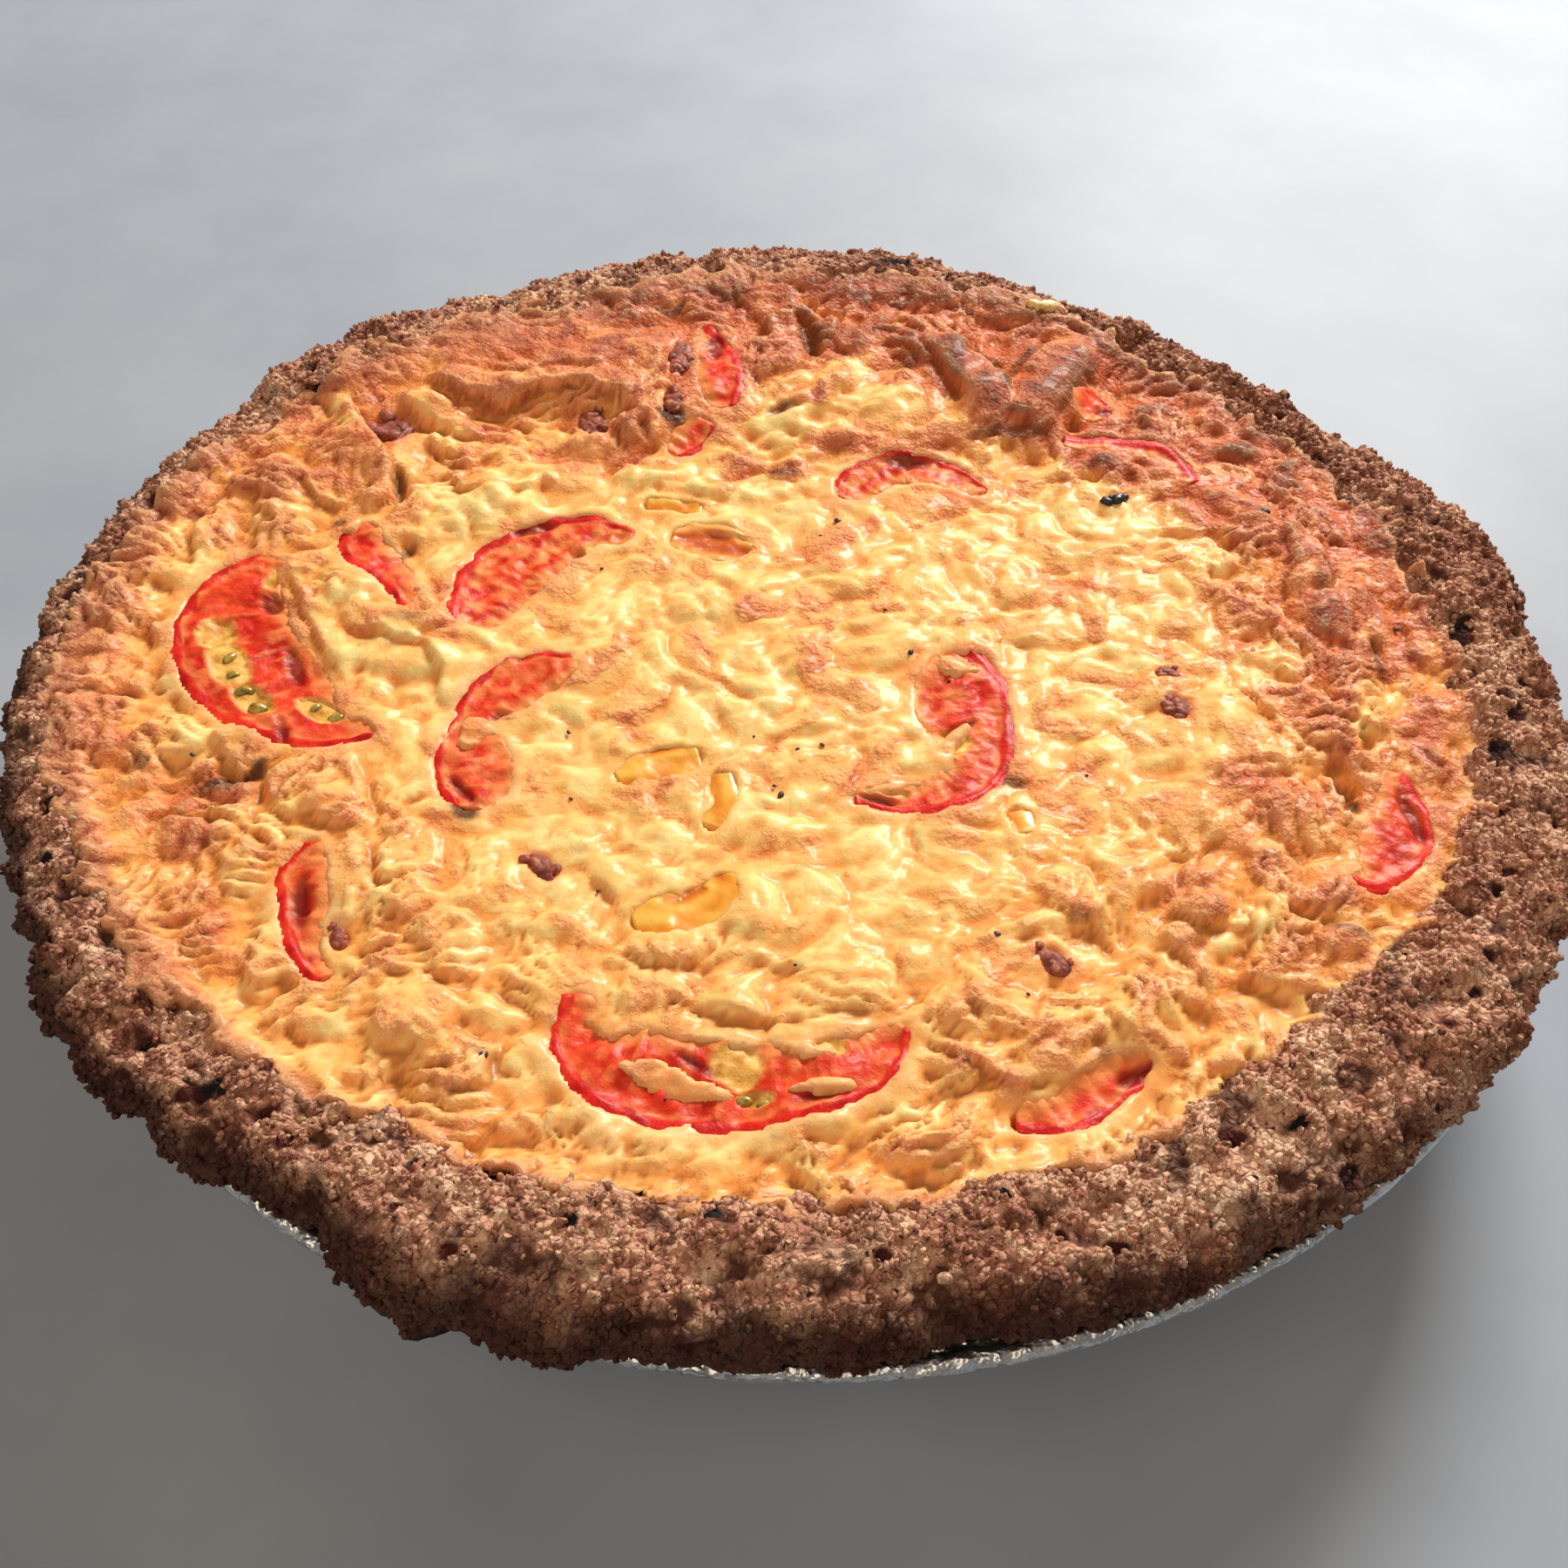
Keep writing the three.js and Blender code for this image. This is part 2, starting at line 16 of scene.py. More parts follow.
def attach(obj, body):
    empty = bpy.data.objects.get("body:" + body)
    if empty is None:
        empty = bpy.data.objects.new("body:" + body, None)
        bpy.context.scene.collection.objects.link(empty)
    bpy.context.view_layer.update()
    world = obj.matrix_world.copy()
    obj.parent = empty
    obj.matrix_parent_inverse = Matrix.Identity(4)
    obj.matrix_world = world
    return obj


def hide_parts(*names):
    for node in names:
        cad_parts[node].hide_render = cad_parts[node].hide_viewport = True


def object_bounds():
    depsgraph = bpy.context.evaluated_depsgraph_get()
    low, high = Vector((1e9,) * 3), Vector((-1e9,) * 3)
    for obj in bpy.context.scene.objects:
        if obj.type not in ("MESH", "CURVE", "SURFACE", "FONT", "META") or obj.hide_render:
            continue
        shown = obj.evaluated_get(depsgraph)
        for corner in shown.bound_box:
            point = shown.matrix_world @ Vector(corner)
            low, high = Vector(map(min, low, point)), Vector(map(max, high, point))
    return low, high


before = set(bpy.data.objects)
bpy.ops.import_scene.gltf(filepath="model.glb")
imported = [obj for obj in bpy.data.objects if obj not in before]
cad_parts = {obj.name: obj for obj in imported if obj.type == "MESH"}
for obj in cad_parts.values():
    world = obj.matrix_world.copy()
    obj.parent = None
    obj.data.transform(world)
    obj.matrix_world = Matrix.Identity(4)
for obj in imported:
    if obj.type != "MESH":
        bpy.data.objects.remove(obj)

cad_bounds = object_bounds()
MM = 0.001
TAU = 2 * math.pi
cad_corners = [tuple(round(v, 4) for v in corner) for corner in cad_bounds]
print("CAD pieces:", len(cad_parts), "box:", cad_corners)

# %% [markdown]
# The camera stands over the front of the pie and looks down at 48.5 degrees, leaning a little.
# It could be aimed with a Track To constraint, but the lean and the slight turn of the
# photograph are easier to keep as three named angles that make its axes directly.

# %% Place the camera
CAMERA_AT = Vector((0.0, -0.1905, 0.2118))
CAMERA_PITCH = math.radians(48.5)
CAMERA_YAW = math.radians(-0.58)
CAMERA_ROLL = math.radians(1.61)
CAMERA_FIELD = math.radians(53)
CAMERA_NEAR = 0.01

camera_data = bpy.data.cameras.new("quiche_camera")
camera_data.angle = CAMERA_FIELD
camera_data.clip_start = CAMERA_NEAR
camera = bpy.data.objects.new("quiche_camera", camera_data)
bpy.context.scene.collection.objects.link(camera)
forward = Vector((
    math.sin(CAMERA_YAW) * math.cos(CAMERA_PITCH),
    math.cos(CAMERA_YAW) * math.cos(CAMERA_PITCH),
    -math.sin(CAMERA_PITCH),
))
level = Vector((math.cos(CAMERA_YAW), -math.sin(CAMERA_YAW), 0))
upright = level.cross(forward)
leaned = level * math.cos(CAMERA_ROLL) + upright * math.sin(CAMERA_ROLL)
topward = upright * math.cos(CAMERA_ROLL) - level * math.sin(CAMERA_ROLL)
camera.matrix_world = Matrix((
    (leaned.x, topward.x, -forward.x, CAMERA_AT.x),
    (leaned.y, topward.y, -forward.y, CAMERA_AT.y),
    (leaned.z, topward.z, -forward.z, CAMERA_AT.z),
    (0, 0, 0, 1),
))
bpy.context.scene.camera = camera
print("camera looks along", tuple(round(v, 3) for v in forward))

# %% [markdown]
# Baked skin and crumbs are never the same twice, so their relief comes from noise. Blender's
# own noise textures would only bump the shading. Here the same kinds of noise are written for
# numpy, in millimetres, so that they move real vertices: soft lumps, and cells for curds,
# crumbs and cracks. All of it is worked out from the place alone, so each run is the same.

# %% Soft steps, lumps and cells
def smooth(low, high, value):
    """A soft step: 0 below low, 1 above high. With low above high it runs the other way."""
    t = np.clip((value - low) / (high - low), 0, 1)
    return t * t * (3 - 2 * t)


def bell(off, wide):
    """1 where off is zero, falling softly to both sides."""
    return np.exp(-((off / wide) ** 2))


def scatter(i, j, seed, k=0):
    """A number from 0 to 1 that looks random but follows from the place alone."""
    s = np.sin(i * 127.1 + j * 311.7 + k * 191.3 + seed * 74.7) * 43758.5453
    return s - np.floor(s)


def lumps(x, y, seed, size=1):
    """Soft noise from -1 to 1, with lumps as wide as size."""
    x, y = x / size, y / size
    i, j = np.floor(x), np.floor(y)
    u, v = smooth(0, 1, x - i), smooth(0, 1, y - j)
    low = scatter(i, j, seed) * (1 - u) + scatter(i + 1, j, seed) * u
    high = scatter(i, j + 1, seed) * (1 - u) + scatter(i + 1, j + 1, seed) * u
    return 2 * (low * (1 - v) + high * v) - 1


def swirls(x, y, seed, size=1):
    """Rounder noise from about -1 to 1, made of tilted planes that meet softly."""
    x, y = x / size, y / size
    i, j = np.floor(x), np.floor(y)
    u, v = smooth(0, 1, x - i), smooth(0, 1, y - j)
    slopes = []
    for a, b in ((0, 0), (1, 0), (0, 1), (1, 1)):
        turn = TAU * scatter(i + a, j + b, seed)
        slopes.append(np.cos(turn) * (x - i - a) + np.sin(turn) * (y - j - b))
    low = slopes[0] * (1 - u) + slopes[1] * u
    high = slopes[2] * (1 - u) + slopes[3] * u
    return 1.6 * (low * (1 - v) + high * v)


def cells(place, seed):
    """Distances to the nearest two of some scattered points, and the nearest one's number."""
    corner = [np.floor(c) for c in place]
    steps = [(-1, 0, 1)] * len(place) + [(0,)] * (3 - len(place))
    near = np.full(place[0].shape, 9.0)
    second, number = near.copy(), np.zeros(near.shape)
    for a in steps[0]:
        for b in steps[1]:
            for c in steps[2]:
                i, j = corner[0] + a, corner[1] + b
                k = corner[2] + c if len(place) > 2 else 0
                square = [(i, 0), (j, 1), (k, 2)][:len(place)]
                far = np.sqrt(sum((p - o - scatter(i, j, seed + n, k)) ** 2
                                  for p, (o, n) in zip(place, square)))
                closer = far < near
                second = np.where(closer, near, np.minimum(second, far))
                number = np.where(closer, scatter(i, j, seed + 5, k), number)
                near = np.where(closer, far, near)
    return near, second, number


def folds(x, y, turn, pitch, seed):
    """Ridges from 0 to 1 that run along a direction, broken and bent like creased skin."""
    a = math.radians(turn)
    along = x * math.cos(a) + y * math.sin(a)
    over = y * math.cos(a) - x * math.sin(a)
    over = over + 0.9 * pitch * lumps(along, over, seed + 1, 3.2 * pitch)
    ridge = 1 - np.abs(lumps(along / (4.5 * pitch), over / pitch, seed))
    wander = 0.7 * swirls(along, over, seed + 2, 5 * pitch)
    return 0.45 * ridge ** 1.5 + 0.55 * np.abs(np.sin(math.pi * (over / pitch + wander)))


def soft_curve(a, b, c, d, t):
    """Goes from b to c while t goes from 0 to 1, in a curve that also heeds a and d."""
    return b + 0.5 * t * (c - a + t * (2 * a - 5 * b + 4 * c - d + t * (3 * (b - c) + d - a)))


def around(stations, angle):
    """Reads a value from even stations round the pie, with a soft curve between them."""
    stations = np.asarray(stations, float)
    turn = angle / TAU * len(stations)
    first = np.floor(turn).astype(int)
    t = turn - first
    return soft_curve(*(stations[(first + k) % len(stations)] for k in (-1, 0, 1, 2)), t)


def oval(x, y, shape):
    """How far a place is from the middle of an oval, 1 on its edge.

    shape starts with x, y, half length, half width and turn in degrees.
    """
    px, py, long, wide, turn = shape[:5]
    a = math.radians(turn)
    u = ((x - px) * math.cos(a) + (y - py) * math.sin(a)) / long
    v = ((y - py) * math.cos(a) - (x - px) * math.sin(a)) / wide
    return np.hypot(u, v)


def inside_oval(x, y, shape, full, gone, uneven=0.0):
    """1 well inside an oval, 0 outside it. It starts to fall at full and ends at gone."""
    return 1 - smooth(full, gone, oval(x, y, shape) + uneven)


def print_range(what, values):
    print(what, "from", round(float(values.min()), 1), "to", round(float(values.max()), 1), "mm")


print("lumps at the middle:", round(float(lumps(np.array(0.5), np.array(0.5), 3)), 4))

# %% [markdown]
# The CAD model already has the true form of tin, crust and custard. Its rules are repeated
# here in the same words and values, because the fine surfaces grow out of them: the custard's
# edge, the bank of crust round it and the step that the back of the pie stands up.

# %% The form of the tin, the crust and the custard
TIN_BASE_R, TIN_INSIDE_R, TIN_RIM_R, TIN_RIM_Z = 86, 111, 122, 30
FOIL, BEAD, GAP = 0.7, 1.2, 0.35
# The rim is pushed in at the back right: how deep, its middle and its spread in degrees.
DENT = (4, 43, 19)
# Radii and heights at even stations round the pie, from the right-hand side to the back.
CRUST_EDGE_R = (
    122.5, 124.5, 115.5, 115, 116.5, 119.5, 121, 121.5, 120, 122.5, 121, 122,
    123.5, 124, 124, 125, 121.2, 122.4, 122, 120.5, 121, 121.5, 122, 121.5,
)
CUSTARD_EDGE_R = (
    103, 103.5, 101.5, 97.5, 94, 93, 92.5, 91, 88.5, 94, 105, 108,
    106.5, 110, 108.5, 107, 105.5, 103.8, 102, 101.5, 101, 99.5, 104.8, 105.5,
)
CREST_Z = (39.5, 38, 38, 38, 38, 37.3, 39, 39, 40, 40.5, 40, 40)
CREST_AT, EDGE_Z, CRUST_THICK, CRUST_FLOOR_R, CRAG = 0.42, 32.2, 5, 78, 1
# Two flaps of crust at the front left: middle and spread in degrees, drop, reach.
FLAPS = ((249.5, 3.4, 4.5, 2.8), (256.5, 3, 3, 1.6))
FLAP_DROP, FLAP_REACH = 2, 3
CENTRE_Z, PUFFED_Z, STEP_UP = 35.5, 37.2, 3.4
# The foot of the raised back, as places x, y.
STEP_LINE = (
    (-130, 57), (-92, 57), (-84, 51), (-68, 54), (-52, 57), (-31, 50), (0, 56), (30, 53), (47, 55),
    (56, 72), (66, 90), (90, 130),
)
# Puffs and hollows: x, y, half length, half width, turn in degrees, height.
PUFFS = (
    (68, -29, 17, 12, 105, 2.4), (57, -57, 8, 7, 0, 1.6), (73, -62, 10, 6, 20, 1.8),
    (84, 8, 26, 6, 95, 1.8), (76, 22, 14, 5, 70, 1.4), (31, 62, 10, 5, -65, 2.6),
    (45, 62, 12, 5.5, 62, 3.2), (-55, 27, 9, 7, 20, 1.8), (-67, 23, 6, 6, 0, 1.5),
    (-74, 9, 8, 5, -50, 1.6), (-78, 40, 13, 6, -55, 2.6), (-60, -4, 12, 6, -30, 1.3),
    (-87, -38, 8, 3.5, 15, -2.2), (-45, -80, 12, 7, -30, 1.4), (-55, -60, 12, 8, -35, 1.2),
    (45, -74, 11, 6, 40, 1.6), (28, -78, 9, 7, 10, 1.7), (-68, 15, 4, 3.5, 60, -3.2),
    (83, -33, 7, 2.2, 105, -2.8), (48, 48, 10, 3, 15, -1.6), (-22, -8, 26, 18, 20, 0.8),
    (20, 18, 24, 14, 10, 0.7), (-8, -58, 14, 9, 0, 0.9),
)


def step_up(x, y):
    """0 in front of the raised back, 1 on it."""
    feet_x, feet_y = zip(*STEP_LINE)
    foot = np.interp(x, feet_x, feet_y)
    ease = 4.6 + 9 * bell(x - 2, 22)
    return smooth(-ease, ease, y - foot)


def custard_form(x, y):
    """The height of the custard's top as the CAD model has it."""
    out = np.hypot(x, y) / around(CUSTARD_EDGE_R, np.arctan2(y, x))
    dish = CENTRE_Z + (PUFFED_Z - CENTRE_Z) * smooth(0.35, 0.85, out)
    puffs = sum(shape[5] * np.exp(-1.4 * oval(x, y, shape) ** 2) for shape in PUFFS)
    ripple = (0.25 + 0.45 * smooth(0.4, 0.9, out)) * lumps(x, y, 3, 8)
    return dish + STEP_UP * step_up(x, y) + puffs + ripple


def flap(angle, what):
    """The drop or the reach of the flaps at an angle."""
    degrees = np.degrees(angle) % 360
    return sum(shape[what] * bell(degrees - shape[0], shape[1]) for shape in FLAPS)


def double_rim(angle):
    """1 where the crust is folded over at the back right."""
    degrees = np.degrees(angle) % 360
    return smooth(30, 38, degrees) * (1 - smooth(60, 68, degrees))


def crust_span(angle):
    """Where the crust starts and ends at an angle, and how far its edge juts out there."""
    jut = 0.9 * lumps((angle % TAU) * 13, 0 * angle, 5) + flap(angle, FLAP_REACH)
    return around(CUSTARD_EDGE_R, angle), around(CRUST_EDGE_R, angle), jut


def crust_height(x, y, across):
    """The height of the crust's top as the CAD model has it."""
    angle = np.arctan2(y, x)
    inner = around(CUSTARD_EDGE_R, angle)
    start_z = custard_form(inner * np.cos(angle), inner * np.sin(angle))
    raised = step_up(x, y)
    lump_end = (1 - smooth(-88, -72, x)) * raised
    crest_z = around(CREST_Z, angle) + STEP_UP * raised
    broad = lumps(x, y, 10, 14) + 0.8 * lumps(x, y, 11, 7)
    crag = CRAG * (broad + 0.5 * lumps(x, y, 12, 4))
    up = np.clip(1 - across / CREST_AT, 0, 1)
    inner_side = crest_z - (crest_z - start_z) * up * up + crag * smooth(0, 0.25, across)
    down = np.clip((across - CREST_AT) / (1 - CREST_AT), 0, 1)
    bulge = 2.3 - 1.1 * raised * (1 - lump_end)
    fall = (1 - down ** bulge) ** (1 / bulge)
    groove = 2.4 * bell(across - 0.45, 0.1) * double_rim(angle)
    droop = 0.5 * flap(angle, FLAP_DROP) * smooth(0.7, 1, across)
    outer_side = EDGE_Z + (crest_z - EDGE_Z) * fall - groove - droop + crag * (0.3 + 0.7 * fall)
    return np.where(across < CREST_AT, inner_side, outer_side)


def crust_across(x, y):
    """How far over the crust a place lies: 0 at the custard, 1 at the outer edge."""
    angle = np.arctan2(y, x)
    inner, outer, jut = crust_span(angle)
    across = (np.hypot(x, y) - inner) / (outer - inner)
    for _ in range(3):
        across = (np.hypot(x, y) - inner) / (outer - inner + jut * np.clip(across, 0, 1))
    return across


middle_z = float(custard_form(np.array(0.0), np.array(0.0)))
print("custard at the middle stands", round(middle_z, 2), "mm high")

# %% [markdown]
# Each tomato slice and pepper strip is a bent strip set in the custard, and each bit of
# scrapple a short lump. The lists repeat the CAD model's places. A strip is walked with a
# soft curve through its few points, so any place can ask how deep inside a strip it lies.

# %% Where the toppings lie
TOMATOES = {
    "tomato_left": ((-90, 12, 2.5), (-93, 3, 6.5), (-92, -6, 9), (-88, -14, 9.5), (-81, -21, 8.5),
                    (-73, -27, 4.6), (-64, -28.2, 1.3)),
    "tomato_left_wedge": ((-77, 20.5, 3), (-74, 13.5, 3.9), (-69, 8.5, 3.2), (-65.8, 3.5, 1.8),
                          (-64.8, -0.5, 0.8)),
    "tomato_upper_left": ((-29.5, 21, 1.8), (-37, 21.8, 4), (-44, 18, 6.5), (-49.5, 11, 7.2),
                          (-52, 3.5, 6), (-54.5, -3.5, 2.6)),
    "tomato_mid_left": ((-35.5, -11, 1.3), (-41, -13.2, 4.6), (-46, -17.5, 5.2), (-49.5, -24, 3.4),
                        (-49.2, -31, 5), (-47.3, -37, 5.6), (-47.4, -42.2, 2.2)),
    "tomato_centre_right": ((9, -37, 1.4), (17, -37, 2.6), (25, -34, 3.6), (28.5, -27.5, 4.4),
                            (26.5, -20, 7), (26, -12, 7), (26, -4.5, 2.6)),
    "tomato_right_rim": ((79.5, -51.3, 1), (83.5, -49.2, 2.6), (87.2, -44, 4.6), (89.8, -37, 4.2),
                         (91, -29, 1.4)),
    "tomato_front": ((-28, -74.5, 1.6), (-27, -81, 3.6), (-20, -85.8, 6), (-8, -87, 6.5),
                     (3, -86.4, 5), (11, -82.4, 4.2), (15.6, -77.6, 1.2)),
    "tomato_front_right": ((29.3, -90.4, 1.3), (35, -90, 2.2), (40, -86.6, 2.9), (44.5, -83, 1.9),
                           (47.8, -81.3, 0.8)),
    "tomato_front_left": ((-68, -50.5, 1), (-68.5, -56, 3.2), (-67, -62, 3), (-65.5, -68, 2),
                          (-61.6, -73.5, 1.3)),
    "tomato_back": ((-15.5, 56, 2), (-16.3, 62, 4), (-17.3, 68, 4.2), (-18.6, 75, 3),
                    (-20.6, 81.5, 1)),
    "tomato_back_foot": ((-24, 44.6, 1.4), (-21.3, 48.8, 3), (-18.8, 52.6, 2)),
    "tomato_back_centre": ((32, 36.5, 1.8), (26, 40.8, 3), (18, 42.8, 3.8), (11, 39.4, 4),
                           (6.5, 34.2, 2.6)),
    "tomato_back_right": ((56, 58.5, 2), (53.5, 61.8, 3.4), (51.6, 65.2, 1.6)),
    "tomato_back_right_arc": ((70.2, 40.5, 0.9), (66.5, 47, 1.9), (60, 50, 1.5), (52.5, 50.6, 1.6),
                              (47.5, 51, 0.9)),
}
PEPPERS = {
    "pepper_oval": ((-22.8, 22.2, 1.8), (-16.5, 21, 4.2), (-9.5, 18.2, 2.4)),
    "pepper_thin": ((-28, 30.8, 0.9), (-18, 29.8, 1.1)),
    "pepper_middle": ((-26.5, -35, 1.4), (-21, -31.8, 2.8), (-14.5, -29.6, 2.2)),
    "pepper_middle_side": ((-11.4, -32.8, 1.2), (-10.2, -38, 1.4), (-12, -43.5, 1)),
    "pepper_lower": ((-21.5, -62, 1.5), (-15.5, -60, 3.6), (-10.2, -57, 2.8), (-9.4, -52.5, 1.1)),
    "pepper_right": ((33.2, -38.5, 1.3), (33.9, -43, 1.4)),
}
# x, y, half length, half width, turn in degrees
SCRAPPLE = {
    "scrapple_back_left": (-39.5, 51, 5, 2.5, 108),
    "scrapple_left": (-76.5, 46.5, 5, 3.6, 70),
    "scrapple_back": (-24.8, 70, 5.8, 2.3, 86),
    "scrapple_back_low": (-24.6, 57.6, 3.6, 2.3, 76),
    "scrapple_right": (59.5, -17, 2.6, 2.2, 80),
    "scrapple_right_small": (59, -8.6, 1.8, 1.4, 0),
    "scrapple_front_left": (-35.5, -52.5, 3.2, 1.7, -50),
    "scrapple_front_right": (36, -66, 3.6, 1.8, -35),
    "scrapple_left_low": (-61.4, -66.2, 2.4, 1.3, 106),
}


def strip_line(points, stretch=0.5):
    """Even stops along a strip: x, y, half width and the distance walked."""
    points = np.array(points, float)
    ends = np.vstack([2 * points[0] - points[1], points, 2 * points[-1] - points[-2]])
    walk = []
    for stops in zip(ends, ends[1:], ends[2:], ends[3:]):
        walk.append(soft_curve(*stops, np.linspace(0, 1, 25)[:-1, None]))
    walk = np.vstack(walk + [points[-1:]])
    gone = np.concatenate([[0], np.cumsum(np.hypot(*np.diff(walk[:, :2], axis=0).T))])
    even = np.linspace(0, gone[-1], max(4, int(gone[-1] / stretch)))
    stops = [np.interp(even, gone, walk[:, c]) for c in range(3)]
    stops[2] = np.maximum(stops[2], 0.6)
    return np.array(stops + [even]).T


def inside_strip(x, y, line):
    """How deep inside a strip a place lies, in mm. Outside it is below zero."""
    deep = np.full(x.shape, -99.0)
    reach = line[:, 2].max() + 6
    near = (x > line[:, 0].min() - reach) & (x < line[:, 0].max() + reach)
    near &= (y > line[:, 1].min() - reach) & (y < line[:, 1].max() + reach)
    px, py = x[near][:, None], y[near][:, None]
    stops = line[::2]
    to_end = np.minimum(stops[:, 3], line[-1, 3] - stops[:, 3]) + 0.2
    far = np.hypot(px - stops[:, 0], py - stops[:, 1]) - np.minimum(stops[:, 2], to_end)
    deep[near] = -far.min(axis=1)
    return deep


def path_side(x, y, points):
    """Distance to a path, the side of it (1 is left, -1 is right) and the part walked."""
    best = np.full(x.shape, 1e9)
    side, part = np.zeros(x.shape), np.zeros(x.shape)
    count = len(points) - 1
    for k, ((ax, ay), (bx, by)) in enumerate(zip(points, points[1:])):
        dx, dy = bx - ax, by - ay
        t = np.clip(((x - ax) * dx + (y - ay) * dy) / (dx * dx + dy * dy), 0, 1)
        far = np.hypot(x - ax - t * dx, y - ay - t * dy)
        closer = far < best
        best = np.where(closer, far, best)
        side = np.where(closer, np.sign(dx * (y - ay) - dy * (x - ax)), side)
        part = np.where(closer, (k + t) / count, part)
    return best, side, part


strips = {name: strip_line(points) for name, points in {**TOMATOES, **PEPPERS}.items()}
longest = max(line[-1, 3] for line in strips.values())
print("longest tomato slice:", round(longest, 1), "mm along its middle")

# %% [markdown]
# The custard's top could be sculpted by hand, but a height map is exact and easy to change.
# Points about 0.6 mm apart take the CAD form, then the puffs, torn lips and creases that show in
# the photograph, each with its own place and size, then broken folds and curds by rule.

# %% A net of points over the custard
NET_STEP = 0.64
NET_HALF = 117
RING_FROM, RING_FULL = 0.5, 0.8
BENT_FAR, BENT_NEAR = 2.4, 0.9
net_line = np.arange(-NET_HALF, NET_HALF + NET_STEP / 2, NET_STEP)
net_x, net_y = np.meshgrid(net_line, net_line, indexing="ij")
net_r = np.hypot(net_x, net_y)
net_angle = np.arctan2(net_y, net_x)
net_out = net_r / around(CUSTARD_EDGE_R, net_angle)
ring = smooth(RING_FROM, RING_FULL, net_out + 0.08 * lumps(net_x, net_y, 31, 16))
bend_x = net_x + BENT_FAR * lumps(net_x, net_y, 41, 9) + BENT_NEAR * lumps(net_x, net_y, 42, 3.5)
bend_y = net_y + BENT_FAR * lumps(net_x, net_y, 43, 9) + BENT_NEAR * lumps(net_x, net_y, 44, 3.5)
print("net:", net_x.shape, "ring share", round(float(ring.mean()), 2))

